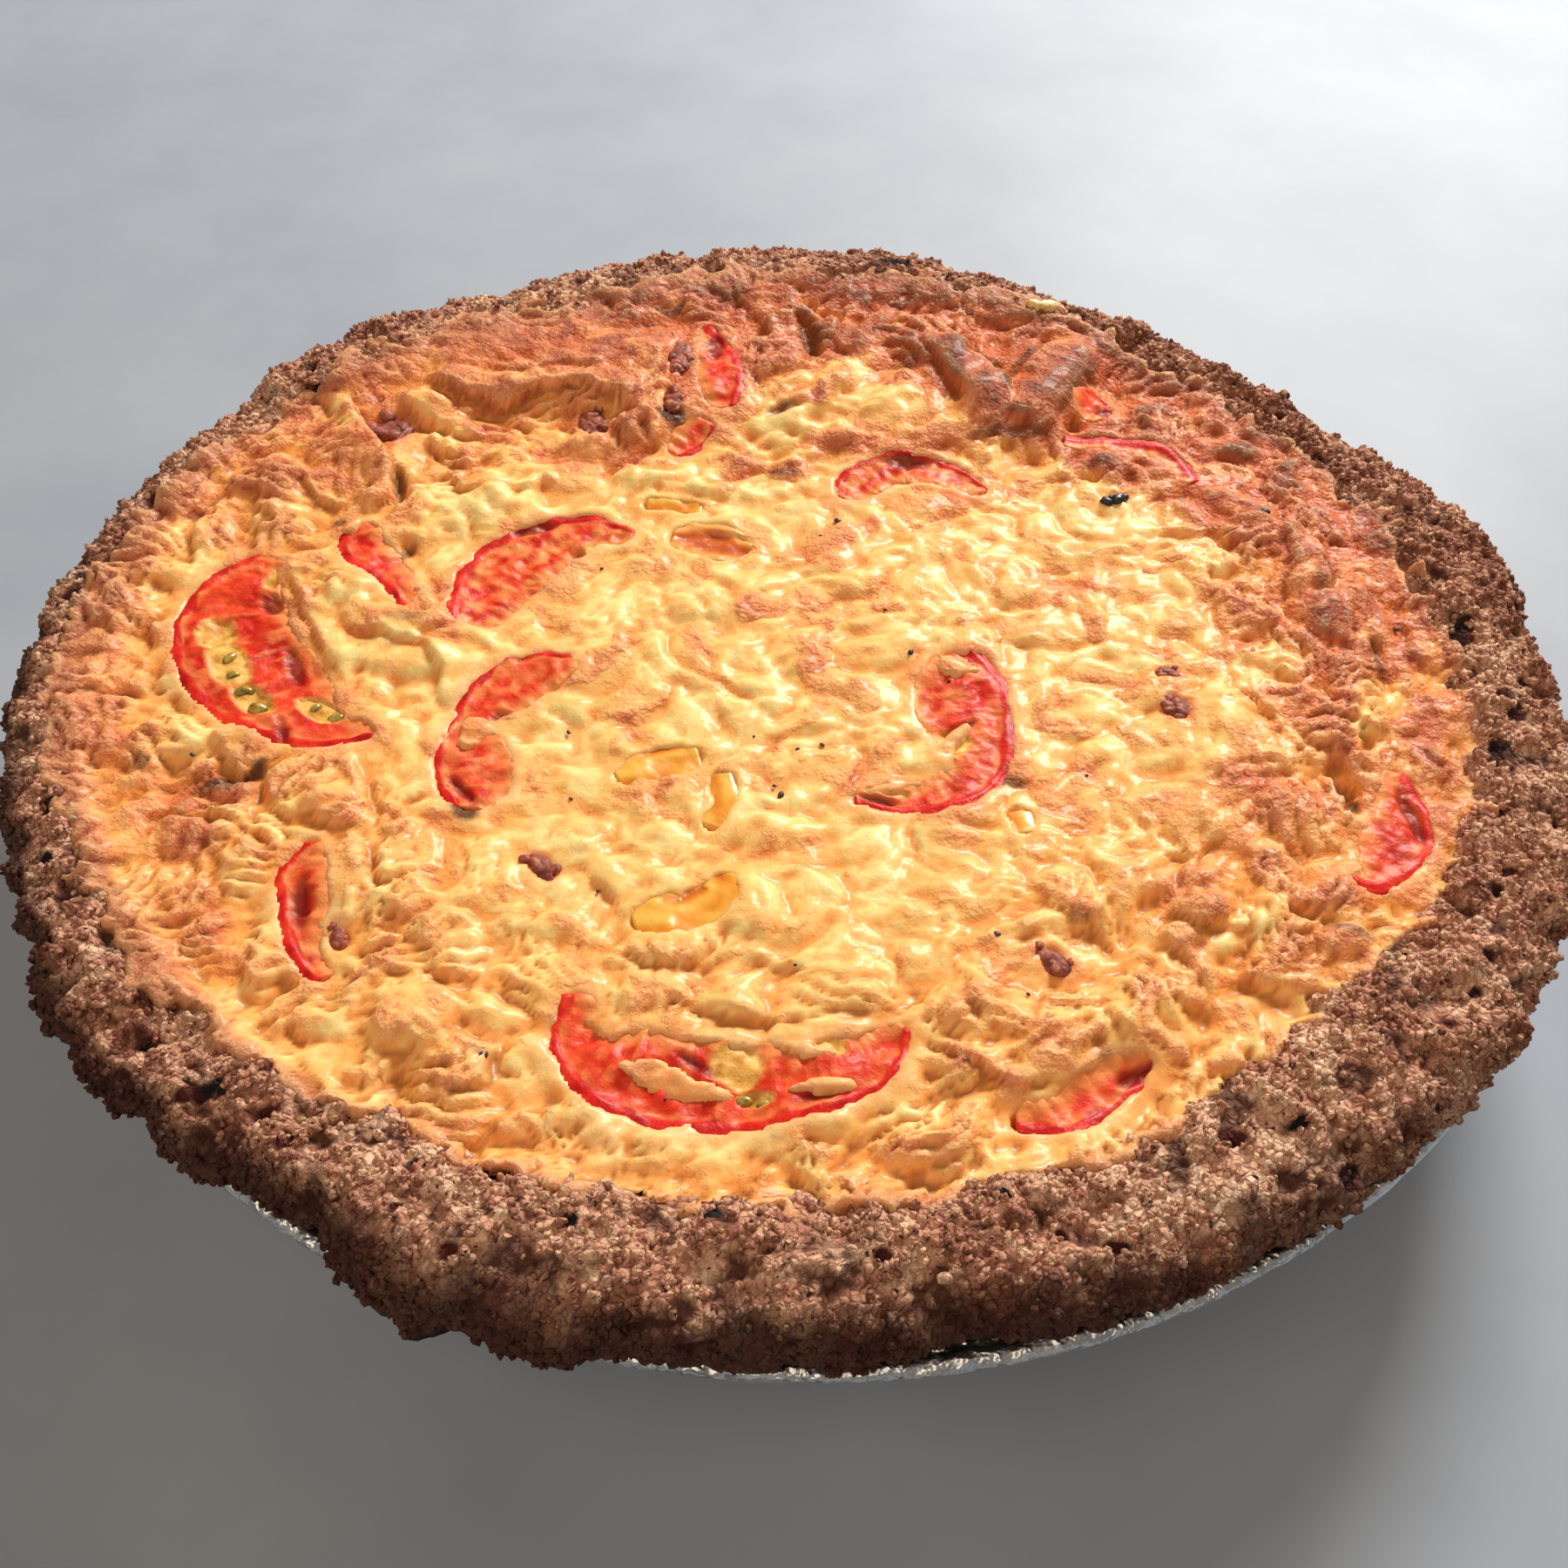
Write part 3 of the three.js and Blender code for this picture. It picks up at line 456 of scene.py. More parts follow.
# %% The puffs, lips and creases that the photograph shows
# Pillows with crisp sides: x, y, half length, half width, turn in degrees, height.
PILLOWS = (
    (-62, 59, 9, 5, -20, 1.0), (-47, 63, 12, 8, 10, 0.9), (-37, 72, 8, 6, 30, 1.0),
    (-68, 52, 6, 3, -30, 1.1), (-64, 45, 6, 4.5, -20, 1.2), (-53, 40, 9, 3.5, -35, 1.0),
    (-60, 34, 9, 4, -30, 0.9), (-31, 50, 4, 5, 70, 1.2), (-57, 26, 7, 6, 10, 0.8),
    (-65, 29, 4, 5, 60, 0.8), (-26, 39, 8, 4, 20, 0.9), (-15, 35, 9, 3, -10, 0.8),
    (-10, 46, 9, 3, 15, 0.8), (1, 59, 9, 3.4, 45, 1.3), (4, 51, 7, 2.8, -5, 1.0),
    (-3, 42, 4, 3, 10, 0.8), (6, 66, 6, 5, 30, 0.8), (-5, 70, 6, 4, 40, 1.0),
    (10, 80, 8, 5, 10, 1.0), (23.5, 79, 9, 6, -60, 2.2), (29.5, 68, 10, 6.5, -62, 2.4),
    (22, 51, 8, 3, 20, 0.9), (31, 46, 5, 2.8, 40, 0.7), (52, 44, 9, 3.4, -5, 1.0),
    (56, 38, 4, 3, 10, 0.7), (62, 58, 6, 3, 20, 0.8), (76, 27, 7, 2.4, -10, 0.9),
    (86, 22, 4, 8, 0, 1.0), (92, 12, 4, 7, 10, 0.8), (86, 2, 4, 8, -40, 0.9),
    (91, -6, 4, 5, 10, 1.0), (80, -15, 4, 6, 20, 1.1), (84, -24, 3, 5, 10, 1.1),
    (87, -18, 2, 6, 30, 0.8), (69, -20, 8, 9, 0, 0.7), (57, -38, 6, 6, 0, 0.6),
    (68, -45, 5, 4, 0, 0.9), (57, -54, 5.5, 5.5, 0, 1.1), (68, -53, 2.4, 5, -15, 0.8),
    (62, -61, 8, 2, 35, 1.1), (53, -62, 3, 2.4, 0, 0.8), (76, -53, 7, 2.6, 20, 0.8),
    (74, -62, 7, 3, 5, 0.8), (64, -67, 6, 2.4, -5, 0.8), (55, -69, 2.4, 5, -35, 0.9),
    (46, -77, 4, 2, -20, 0.8), (54, -80, 6, 4, 30, 0.7), (42, -54, 7, 6, 10, 0.6),
    (25, -53, 5, 5, 0, 0.5), (35, -79, 5, 4, -40, 0.9), (24, -74, 5, 5, 20, 0.9),
    (15, -87, 4, 3.4, 30, 1.0), (5, -92, 5, 2.4, -10, 0.8), (20, -97, 8, 3.4, 0, 0.8),
    (33, -97, 6, 3, 10, 0.7), (-6, -58, 4, 7, 10, 1.0), (-17, -66, 6, 3.4, -10, 0.7),
    (-24, -53, 6, 4, -40, 0.6), (9, -63, 4, 2, -10, 0.4), (-35, -62, 8, 3, -15, 0.6),
    (-48, -64, 8, 4, -30, 0.8), (-44, -76, 9, 3, -20, 0.8), (-48, -84, 8, 5, -40, 0.8),
    (-60, -52, 3, 6, 25, 0.8), (-66, -71, 9, 2, -55, 0.7), (-58, -71, 6, 2, -25, 0.8),
    (-72, -62, 10, 2.4, -62, 0.8), (-56, -45, 7, 6, 0, 0.7), (-66, -44, 6, 4, -30, 0.7),
    (-86, -51, 4.5, 5, 0, 0.9), (-79, -53, 3.4, 5, 0, 0.6), (-64, -11, 11, 4, -8, 1.2),
    (-75, 4, 3.4, 8, 30, 1.2), (-70, -3, 6, 3, -30, 0.8), (-59, 0, 4, 4, 0, 0.7),
    (-94, 30, 3.4, 8, 40, 0.8), (-92, -30, 8, 3, -20, 0.7), (-30, -93, 7, 3, 15, 0.8),
    (-12, -97, 7, 2.8, 0, 0.7), (-18, -38, 5, 6, -10, 0.5), (-30, -14, 12, 10, 30, 0.4),
    (-14, 6, 11, 8, 20, 0.4), (8, -20, 10, 9, 0, 0.35), (-6, -42, 8, 6, 10, 0.4),
    (22, 4, 10, 7, -10, 0.4), (36, -20, 7, 10, 0, 0.35), (45, 5, 6, 8, 10, 0.4),
    (-45, 54, 12, 5, 0, -0.9), (-38, 46, 9, 5, 0, 0.8), (-50, 65, 18, 5, 5, -0.5),
    (-68, 16, 4, 4, 0, 1.7), (-64, 52, 8, 4, -20, 0.6), (47, 72, 10, 7.5, 60, 2.5),
    (38, 60, 10, 6.5, 5, 2.1), (36.5, 78, 3, 5, 0, -1.1), (27, 60, 3, 6, 0, -0.8),
)
# Torn or folded lips. The left of the path stands higher: path, rise, how far back it fades.
LIPS = (
    (((-86, 56), (-82, 49), (-77, 41), (-73, 35), (-72, 28), (-75, 21)), -2.3, 7),
    (((-28, 76), (-28, 68), (-30, 60), (-28, 52), (-33, 49)), -1.2, 5),
    (((-76, 63), (-66, 58), (-57, 54), (-50, 59), (-42, 60), (-35, 57), (-28, 51)), 1.5, 8),
    (((-64, 66), (-55, 63), (-45, 66), (-36, 66)), 0.7, 5),
    (((-77, 54), (-70, 50), (-64, 46), (-60, 47)), 1.2, 4),
    (((-70, 46), (-66, 39), (-60, 38), (-56, 42)), 1.4, 4),
    (((-66, 37), (-60, 31), (-50, 32), (-44, 35)), 1.1, 4),
    (((-90, 33), (-85, 27), (-80, 24)), 1.2, 4),
    (((-97, 30), (-94, 24), (-90, 20)), 1.0, 4),
    (((-88, 12), (-84, 4), (-80, -4), (-75, -13), (-69, -19)), 1.4, 4),
    (((-76, -4), (-68, -7), (-60, -9), (-56, -14), (-55, -22)), 1.2, 4),
    (((20, 80), (23, 73), (27, 66), (30, 61), (33, 60)), 0.7, 4),
    (((28, 53), (34, 49), (41, 50), (46, 55), (49, 62), (53, 70)), 0.6, 4),
    (((38, 58), (37, 65), (36, 70), (39, 75)), 1.8, 3),
    (((-8, 77), (-9, 84), (-2, 88), (5, 84), (4, 76)), -1.6, 4),
    (((67, -9), (72, -16), (75, -23), (80, -30), (80, -37)), 0.7, 5),
    (((86, 31), (88, 24), (89, 15), (88, 9)), -1.2, 4),
    (((68, 18), (70, 11), (75, 6), (80, 2)), -1.0, 5),
    (((83, 24), (83, 16), (80, 8)), 1.0, 4),
    (((50, 50), (46, 43), (52, 40), (58, 44), (64, 45)), -1.0, 4),
    (((52, -57), (56, -61), (62, -60), (65, -55)), 1.0, 4),
    (((80, -60), (74, -58), (68, -61), (66, -67)), -1.2, 4),
    (((60, -66), (64, -70), (72, -71), (78, -68)), 1.1, 4),
    (((57, -72), (54, -66), (50, -61)), -1.0, 3),
    (((51, -45), (57, -48), (62, -44), (64, -38)), 0.9, 4),
    (((-32, -50), (-26, -56), (-22, -61), (-17, -64)), 0.8, 4),
    (((-60, -69), (-53, -71), (-46, -74), (-40, -79)), -0.9, 4),
    (((-48, -77), (-44, -81), (-38, -82), (-37, -88), (-43, -92)), -1.0, 4),
    (((-91, -46), (-84, -45), (-78, -47)), -0.9, 3),
    (((-64, -46), (-60, -52), (-58, -58), (-57, -66)), -0.9, 4),
    (((17, -78), (22, -82), (30, -86), (38, -85), (42, -80)), 1.0, 4),
    (((-20, -72), (-12, -76), (-2, -77), (8, -76)), 0.9, 4),
    (((26, -92), (16, -94), (8, -94)), 0.7, 3),
)
# Narrow creases and cracks: path, half width, depth.
CREASES = (
    (((-83, -38), (-80, -37), (-78, -42)), 1.1, 1.5),
    (((-92, -47), (-85, -46), (-80, -48), (-76, -50)), 0.7, 1.0),
    (((-84, -47), (-83, -52), (-84, -58)), 0.6, 0.9),
    (((81, -30), (82.5, -33), (81.5, -37)), 1.0, 1.5),
    (((93, -1), (94, -6), (93, -11)), 1.0, 1.8),
    (((-26, 60), (-25, 54), (-22, 52)), 1.2, 1.3),
    (((28, 92), (28, 87), (27, 82)), 0.6, 1.2),
    (((-1, 84), (0, 77), (0, 72)), 1.6, 1.4),
    (((50, 56), (53, 63), (54, 69)), 1.2, 1.8),
    (((-72, 34), (-71, 28)), 1.1, 1.2),
    (((-68, 15), (-65, 11)), 1.5, 1.0),
    (((19, 84), (23, 72), (28, 60)), 1.1, 1.3),
    (((30, 80), (34, 74), (37, 66), (42, 73), (46, 80)), 1.1, 1.2),
    (((72, -30), (76, -32), (79, -31)), 0.6, 0.6),
    (((-20, -96), (-20, -102)), 0.7, 1.0),
    (((-6, 55), (-2, 57)), 1.2, 1.3),
    (((-36, 38), (-31, 42), (-28, 46)), 0.9, 1.2),
)
# Fields of fine wrinkles: x, y, half length, half width and turn of the field, then the turn,
# the pitch and the depth of the wrinkles.
WRINKLES = (
    (-103, 22, 16, 13, 80, -15, 1.9, 0.5), (-84, 36, 17, 12, -50, -52, 2.2, 0.7),
    (-50, 66, 28, 13, 0, -38, 3.4, 0.7), (47, 68, 12, 7, 60, -22, 2.3, 0.85),
    (38, 56, 9, 6, 10, 82, 2.2, 0.6), (27, 71, 12, 6, -60, 25, 2.6, 0.7),
    (10, 88, 28, 9, -5, 80, 2.8, 0.8), (70, -33, 13, 9, 0, 14, 2.0, 0.7),
    (57, -54, 8, 7, 0, 78, 1.7, 0.6), (75, -57, 12, 6, 15, 18, 2.2, 0.8),
    (72, -67, 12, 4, 0, 5, 2.0, 0.6), (77, 14, 9, 14, 0, 65, 1.9, 0.6),
    (90, 6, 8, 22, 0, 75, 2.1, 0.7), (64, 48, 12, 8, -30, -30, 2.1, 0.7),
    (82, 34, 10, 10, 0, -45, 2.2, 0.7), (-47, -83, 13, 8, -40, -42, 1.9, 0.7),
    (25, -76, 9, 8, 0, 70, 2.0, 0.6), (36, -82, 8, 6, 0, 40, 1.9, 0.5),
    (-17, -67, 8, 6, 0, 80, 1.7, 0.5), (-86, -44, 10, 8, 0, 5, 2.1, 0.6),
    (-106, -25, 12, 20, 0, -25, 2.3, 0.6), (-60, -2, 10, 8, 0, -40, 2.1, 0.5),
    (-50, -62, 12, 9, 0, -35, 2.4, 0.5), (48, -42, 8, 8, 0, 5, 1.8, 0.35),
    (-5, 45, 14, 7, 0, 5, 2.2, 0.4), (22, -95, 14, 5, 0, 5, 2.0, 0.5),
    (84, -18, 6, 10, 20, 50, 1.8, 0.5),
)


def photo_relief(x, y):
    """Pillows, lips and creases at their own places, in mm."""
    wobble = 0.16 * lumps(x, y, 51, 3.1)
    height = sum(s[5] * inside_oval(x, y, s, 0.5, 1.2, wobble) for s in PILLOWS)
    bent_x = x + 0.9 * lumps(x, y, 52, 6) + 0.3 * lumps(x, y, 54, 2.5)
    bent_y = y + 0.9 * lumps(x, y, 53, 6) + 0.3 * lumps(x, y, 55, 2.5)
    for path, rise, fade in LIPS:
        far, side, part = path_side(bent_x, bent_y, path)
        ends = smooth(0, 0.16, part) * (1 - smooth(0.84, 1, part))
        up = smooth(-0.55, 0.55, side * far * np.sign(rise))
        high = np.exp(-far / fade)
        low = -0.4 * np.exp(-far / (0.6 * fade))
        height = height + abs(rise) * ends * (up * high + (1 - up) * low)
    for path, wide, deep in CREASES:
        far, _, part = path_side(bent_x, bent_y, path)
        height = height - deep * bell(far, wide)
    return height


def wrinkle_relief(x, y):
    """The fields of fine wrinkles, in mm."""
    height = np.zeros(x.shape)
    for number, shape in enumerate(WRINKLES):
        window = inside_oval(x, y, shape, 0.45, 1.15)
        turn, pitch, deep = shape[5:]
        height += deep * window * (folds(x, y, turn, 1.3 * pitch, 60 + number) - 0.5)
    return height


relief_named = photo_relief(net_x, net_y)
relief_wrinkled = wrinkle_relief(net_x, net_y)
print_range("named relief", relief_named)

# %% Curds, pillows and folds by rule
RING_MIDDLE_R = 78


def curd_domes(size, seam, seed):
    """Cells with rounded tops: 0 on the seams between them, 1 inside."""
    near, second, _ = cells((bend_x / size, bend_y / size), seed)
    return smooth(0, seam, second - near)


curds = curd_domes(size=10, seam=0.42, seed=71)
small_curds = curd_domes(size=5, seam=0.5, seed=75)
tangent = net_angle * RING_MIDDLE_R
outward = net_r + 1.3 * (bend_y - net_y)
ring_folds = 1 - np.abs(lumps((tangent + 3 * (bend_x - net_x)) / 12, outward / 3.3, 81))
outward = net_r + 1.5 * (bend_x - net_x)
fine_folds = 1 - np.abs(lumps((tangent + bend_x - net_x) / 6, outward / 1.7, 83))


def crumpled(x, y, size, seed):
    """Sharp ridges with soft valleys, like paper that was crushed, in three sizes."""
    height, share = np.zeros(x.shape), 1.0
    for step in range(3):
        ridge_line = np.clip(1 - np.abs(swirls(x, y, seed + step, size)), 0, 1)
        height = height + share * 0.55 ** step * (ridge_line ** 2.2 - 0.55)
        share = np.clip(0.4 + ridge_line, 0, 1)
        x, y, size = 0.8 * x - 0.6 * y, 0.6 * x + 0.8 * y, size / 2
    return height


def billows(x, y, size, seed):
    """Rounded puffs with sharp creases between them, in three sizes."""
    height = np.zeros(x.shape)
    for step in range(3):
        height = height + 0.42 ** step * (np.abs(swirls(x, y, seed + step, size)) - 0.27)
        x, y, size = 0.8 * x - 0.6 * y, 0.6 * x + 0.8 * y, size / 1.9
    return height


def scraps(x, y, size, pitch, seed):
    """Scraps of skin: how far from a seam, and wrinkles that run another way on each scrap."""
    near, second, number = cells((x / size, y / size), seed)
    turn = TAU * number
    over = y * np.cos(turn) - x * np.sin(turn)
    wander = 0.9 * swirls(x, y, seed + 9, 2.6 * pitch)
    lines = np.abs(np.sin(math.pi * (over / pitch + wander)))
    seam = second - near
    away_from_seam = (lines - 0.6) * smooth(0.02, 0.25, seam)
    creased_scraps = smooth(0.1, 0.5, scatter(number * 91, 0, seed))
    return smooth(0, 0.45, seam), away_from_seam * creased_scraps


leather = crumpled(bend_x, bend_y * 1.1, size=6.5, seed=601)
puffed = billows(bend_x, bend_y * 1.1, size=12, seed=611)
curdled = billows(bend_x + 0.7 * leather, bend_y * 1.1, size=9, seed=621)
scrap_dome, scrap_lines = scraps(
    bend_x + 1.2 * leather, bend_y, size=11.5, pitch=2.4, seed=631)
# Places that show whole folds, where the rule steps back: x, y, half length, half width, turn,
# how far.
CALM = (
    (-50, 68, 26, 12, 8, 0.7), (38, 67, 19, 15, 0, 0.85), (-82, 42, 16, 11, -50, 0.5),
    (-64, -11, 12, 5, -8, 0.5),
)
calm = np.ones(net_x.shape)
for shape in CALM:
    calm = calm * (1 - shape[5] * inside_oval(net_x, net_y, shape, 0.6, 1.3))
curd_low, small_low = curds - 0.6, small_curds - 0.6
relief_ruled = ring * (0.35 * curd_low + 0.15 * small_low + 0.4 * (ring_folds ** 3 - 0.3))
relief_ruled += ring * (0.2 * (fine_folds ** 3 - 0.3) + 0.36 * leather + 1.5 * puffed)
relief_ruled += ring * (1.1 * (scrap_dome - 0.7) + 0.95 * scrap_lines)
relief_ruled += (1 - ring) * (0.5 * curd_low + 0.14 * small_low + 0.1 * leather + 1.3 * curdled)
small_curdled = billows(bend_y, bend_x, size=5.2, seed=641)
relief_ruled += (1 - ring) * (0.3 * small_curdled + 0.06 * scrap_lines)
relief_ruled *= calm
print("ruled relief stays within", round(float(np.abs(relief_ruled).max()), 2), "mm")

# %% [markdown]
# Where custard ran up the crust before it set, it left a thin film. It drapes over the crust
# and ends in a ragged line, wide on the left and narrow on the right. One height map for
# custard and film keeps them a single skin, and where it dives under the crust, the crumbs
# make the ragged edge by themselves.

# %% Join the film over the crust to the custard
# How far the film reaches over the crust, at even stations round the pie.
FILM_REACH = (
    0.08, 0.08, 0.14, 0.25, 0.3, 0.32, 0.34, 0.34, 0.44, 0.48, 0.34, 0.4,
    0.62, 0.5, 0.36, 0.26, 0.14, 0.1, 0.13, 0.1, 0.08, 0.06, 0.05, 0.05,
)
FILM_THICK = 0.55
FILM_DIVE = 2.6
BACK_LOWERED, LOWERED_FROM_Z, LOWERED_TO_Z = 2.4, 38.5, 43
net_across = crust_across(net_x, net_y)


def ragged_film_end(x, y):
    """Where the film stops on its way over the crust: 0 at the custard, 1 at the outer edge."""
    torn = 0.17 * swirls(x, y, 91, 9) + 0.13 * swirls(x, y, 92, 3.6) + 0.05 * lumps(x, y, 93, 1.2)
    return around(FILM_REACH, np.arctan2(y, x)) + torn


film_end = ragged_film_end(net_x, net_y)
film_wrinkle = 0.5 * (folds(net_x, net_y, turn=-12, pitch=2.2, seed=95) - 0.45)
film_wrinkle = film_wrinkle * smooth(-60, -90, net_x)
film_z = crust_height(net_x, net_y, np.clip(net_across, 0, 1)) + FILM_THICK + film_wrinkle
dive = FILM_DIVE * smooth(film_end - 0.03, film_end + 0.09, net_across)
film_z += 0.8 * relief_ruled + 0.5 * small_low - dive
over_crust = smooth(-3, 2.5, net_r - around(CUSTARD_EDGE_R, net_angle))
skin_z = custard_form(net_x, net_y)
skin_z = skin_z - BACK_LOWERED * smooth(LOWERED_FROM_Z, LOWERED_TO_Z, skin_z)
skin_z = skin_z + relief_named + relief_wrinkled + relief_ruled
skin_z = skin_z * (1 - over_crust) + film_z * over_crust


def blur(grid, radius):
    """A soft average over a square net, by passing a bell-shaped window along both axes."""
    reach = int(3 * radius / NET_STEP)
    window = np.exp(-0.5 * (np.arange(-reach, reach + 1) * NET_STEP / radius) ** 2)
    window /= window.sum()
    for axis in (0, 1):
        spare = [(reach, reach) if a == axis else (0, 0) for a in (0, 1)]
        padded = np.pad(grid, spare, mode="edge")
        size = grid.shape[axis]
        grid = sum(w * np.take(padded, range(k, k + size), axis=axis) for k, w in enumerate(window))
    return grid


def read_net(grid, x, y):
    """Reads the net at any place, evenly between its points."""
    u = np.clip((x + NET_HALF) / NET_STEP, 0, len(net_line) - 1.001)
    v = np.clip((y + NET_HALF) / NET_STEP, 0, len(net_line) - 1.001)
    i, j = u.astype(int), v.astype(int)
    s, t = u - i, v - j
    low = grid[i, j] * (1 - s) + grid[i + 1, j] * s
    high = grid[i, j + 1] * (1 - s) + grid[i + 1, j + 1] * s
    return low * (1 - t) + high * t


skin_soft = blur(skin_z, radius=2.2)
print_range("skin stands", skin_z[net_out < 1])

# %% [markdown]
# The custard opens over each topping with an uneven lip. A hole could be cut with a Boolean,
# but real custard thins and creeps over the slice, so the height map just sinks inside each
# strip, with a ragged line, a raised lip and islands that were left where the slice is mottled.

# %% Open the custard over the toppings
OPENING_DEPTH = 2.0
LEVELLED = 0.75
# Above this height the skin levels off, and never rises more than the headroom over it.
LEVEL_OFF_Z, HEADROOM = 40, 3.1
# Custard that lies on top of slices: x, y, half length, half width, turn.
ISLANDS = (
    (-49, -26, 4, 2.6, 80), (25, -8.5, 3.6, 2.2, -15), (-14, -87, 6.5, 2.3, -12),
    (3, -82, 4, 1.1, -5), (5, -87.2, 5.5, 1.1, 4), (-24, -78.5, 3.4, 2.2, -40),
    (24.5, -24, 3.4, 1.4, 55), (-77.5, 19.3, 2, 1.2, 60), (84.5, -33.5, 1.6, 3.4, -15),
)
# How much custard lies over each slice or strip.
MOTTLED = {
    "tomato_upper_left": 0.8, "tomato_back_centre": 0.75, "tomato_mid_left": 0.4,
    "tomato_centre_right": 0.4, "tomato_back_foot": 0.3, "tomato_back_right_arc": 0.25,
    "pepper_thin": 0.35, "pepper_middle": 0.45, "pepper_middle_side": 0.45, "pepper_lower": 0.25,
    "pepper_right": 0.3, "tomato_front": 0.1, "tomato_right_rim": 0.2, "tomato_front_right": 0.15,
    "tomato_front_left": 0.2, "tomato_left": 0.08,
}

beside = np.zeros(net_x.shape)
for line in strips.values():
    np.maximum(beside, smooth(-3.6, -0.4, inside_strip(net_x, net_y, line)), out=beside)
skin_z = skin_z + LEVELLED * beside * (skin_soft + 0.12 - skin_z)

opened = np.zeros(net_x.shape)
lip = np.zeros(net_x.shape)
near_tomato = np.zeros(net_x.shape)
near_pepper = np.zeros(net_x.shape)
ragged = 1.3 * swirls(net_x, net_y, 101, 4.6) + 0.7 * swirls(net_x, net_y, 102, 2)
mottle = lumps(net_x, net_y, 103, 1.9) + 0.5 * lumps(net_x, net_y, 104, 1.1)
for name, line in strips.items():
    deep = inside_strip(net_x, net_y, line)
    cover = smooth(0.75, 1.05, mottle * 0.7 + 2 * MOTTLED.get(name, 0)) * name.startswith("pepper")
    inset = 0.15 + 0.5 * smooth(3, 6, line[:, 2].max())
    shown = smooth(-0.5, 0.5, deep - inset + 0.6 * ragged)
    shown = shown * (1 - 0.9 * cover * smooth(-1, 1.5, deep))
    opened = np.maximum(opened, shown)
    lip = np.maximum(lip, bell(deep + 1.3 + 0.5 * ragged, 1.0))
    mask = near_tomato if name.startswith("tomato") else near_pepper
    np.maximum(mask, smooth(-3.2, 0.6, deep + 0.8 * ragged), out=mask)
island = np.zeros(net_x.shape)
for shape in ISLANDS:
    island = np.maximum(island, inside_oval(net_x, net_y, shape, 0.8, 1.15, 0.26 * ragged))
opened *= 1 - island
for shape in SCRAPPLE.values():
    edge = oval(net_x, net_y, shape) + 0.12 * ragged
    opened = np.maximum(opened, 0.2 * (1 - smooth(0.75, 1.05, edge)))
    lip = np.maximum(lip, 0.4 * bell(edge - 1.25, 0.22))
top_z = skin_z + 0.2 * lip * (1 - opened) - OPENING_DEPTH * opened
top_z = top_z + (0.25 + 0.5 * small_curds) * island
levelled_off = LEVEL_OFF_Z + HEADROOM * np.tanh((top_z - LEVEL_OFF_Z) / HEADROOM)
top_z = np.where(top_z > LEVEL_OFF_Z, levelled_off, top_z)
print("opened over", round(float(opened.sum() * NET_STEP ** 2 / 100), 1), "square centimetres")
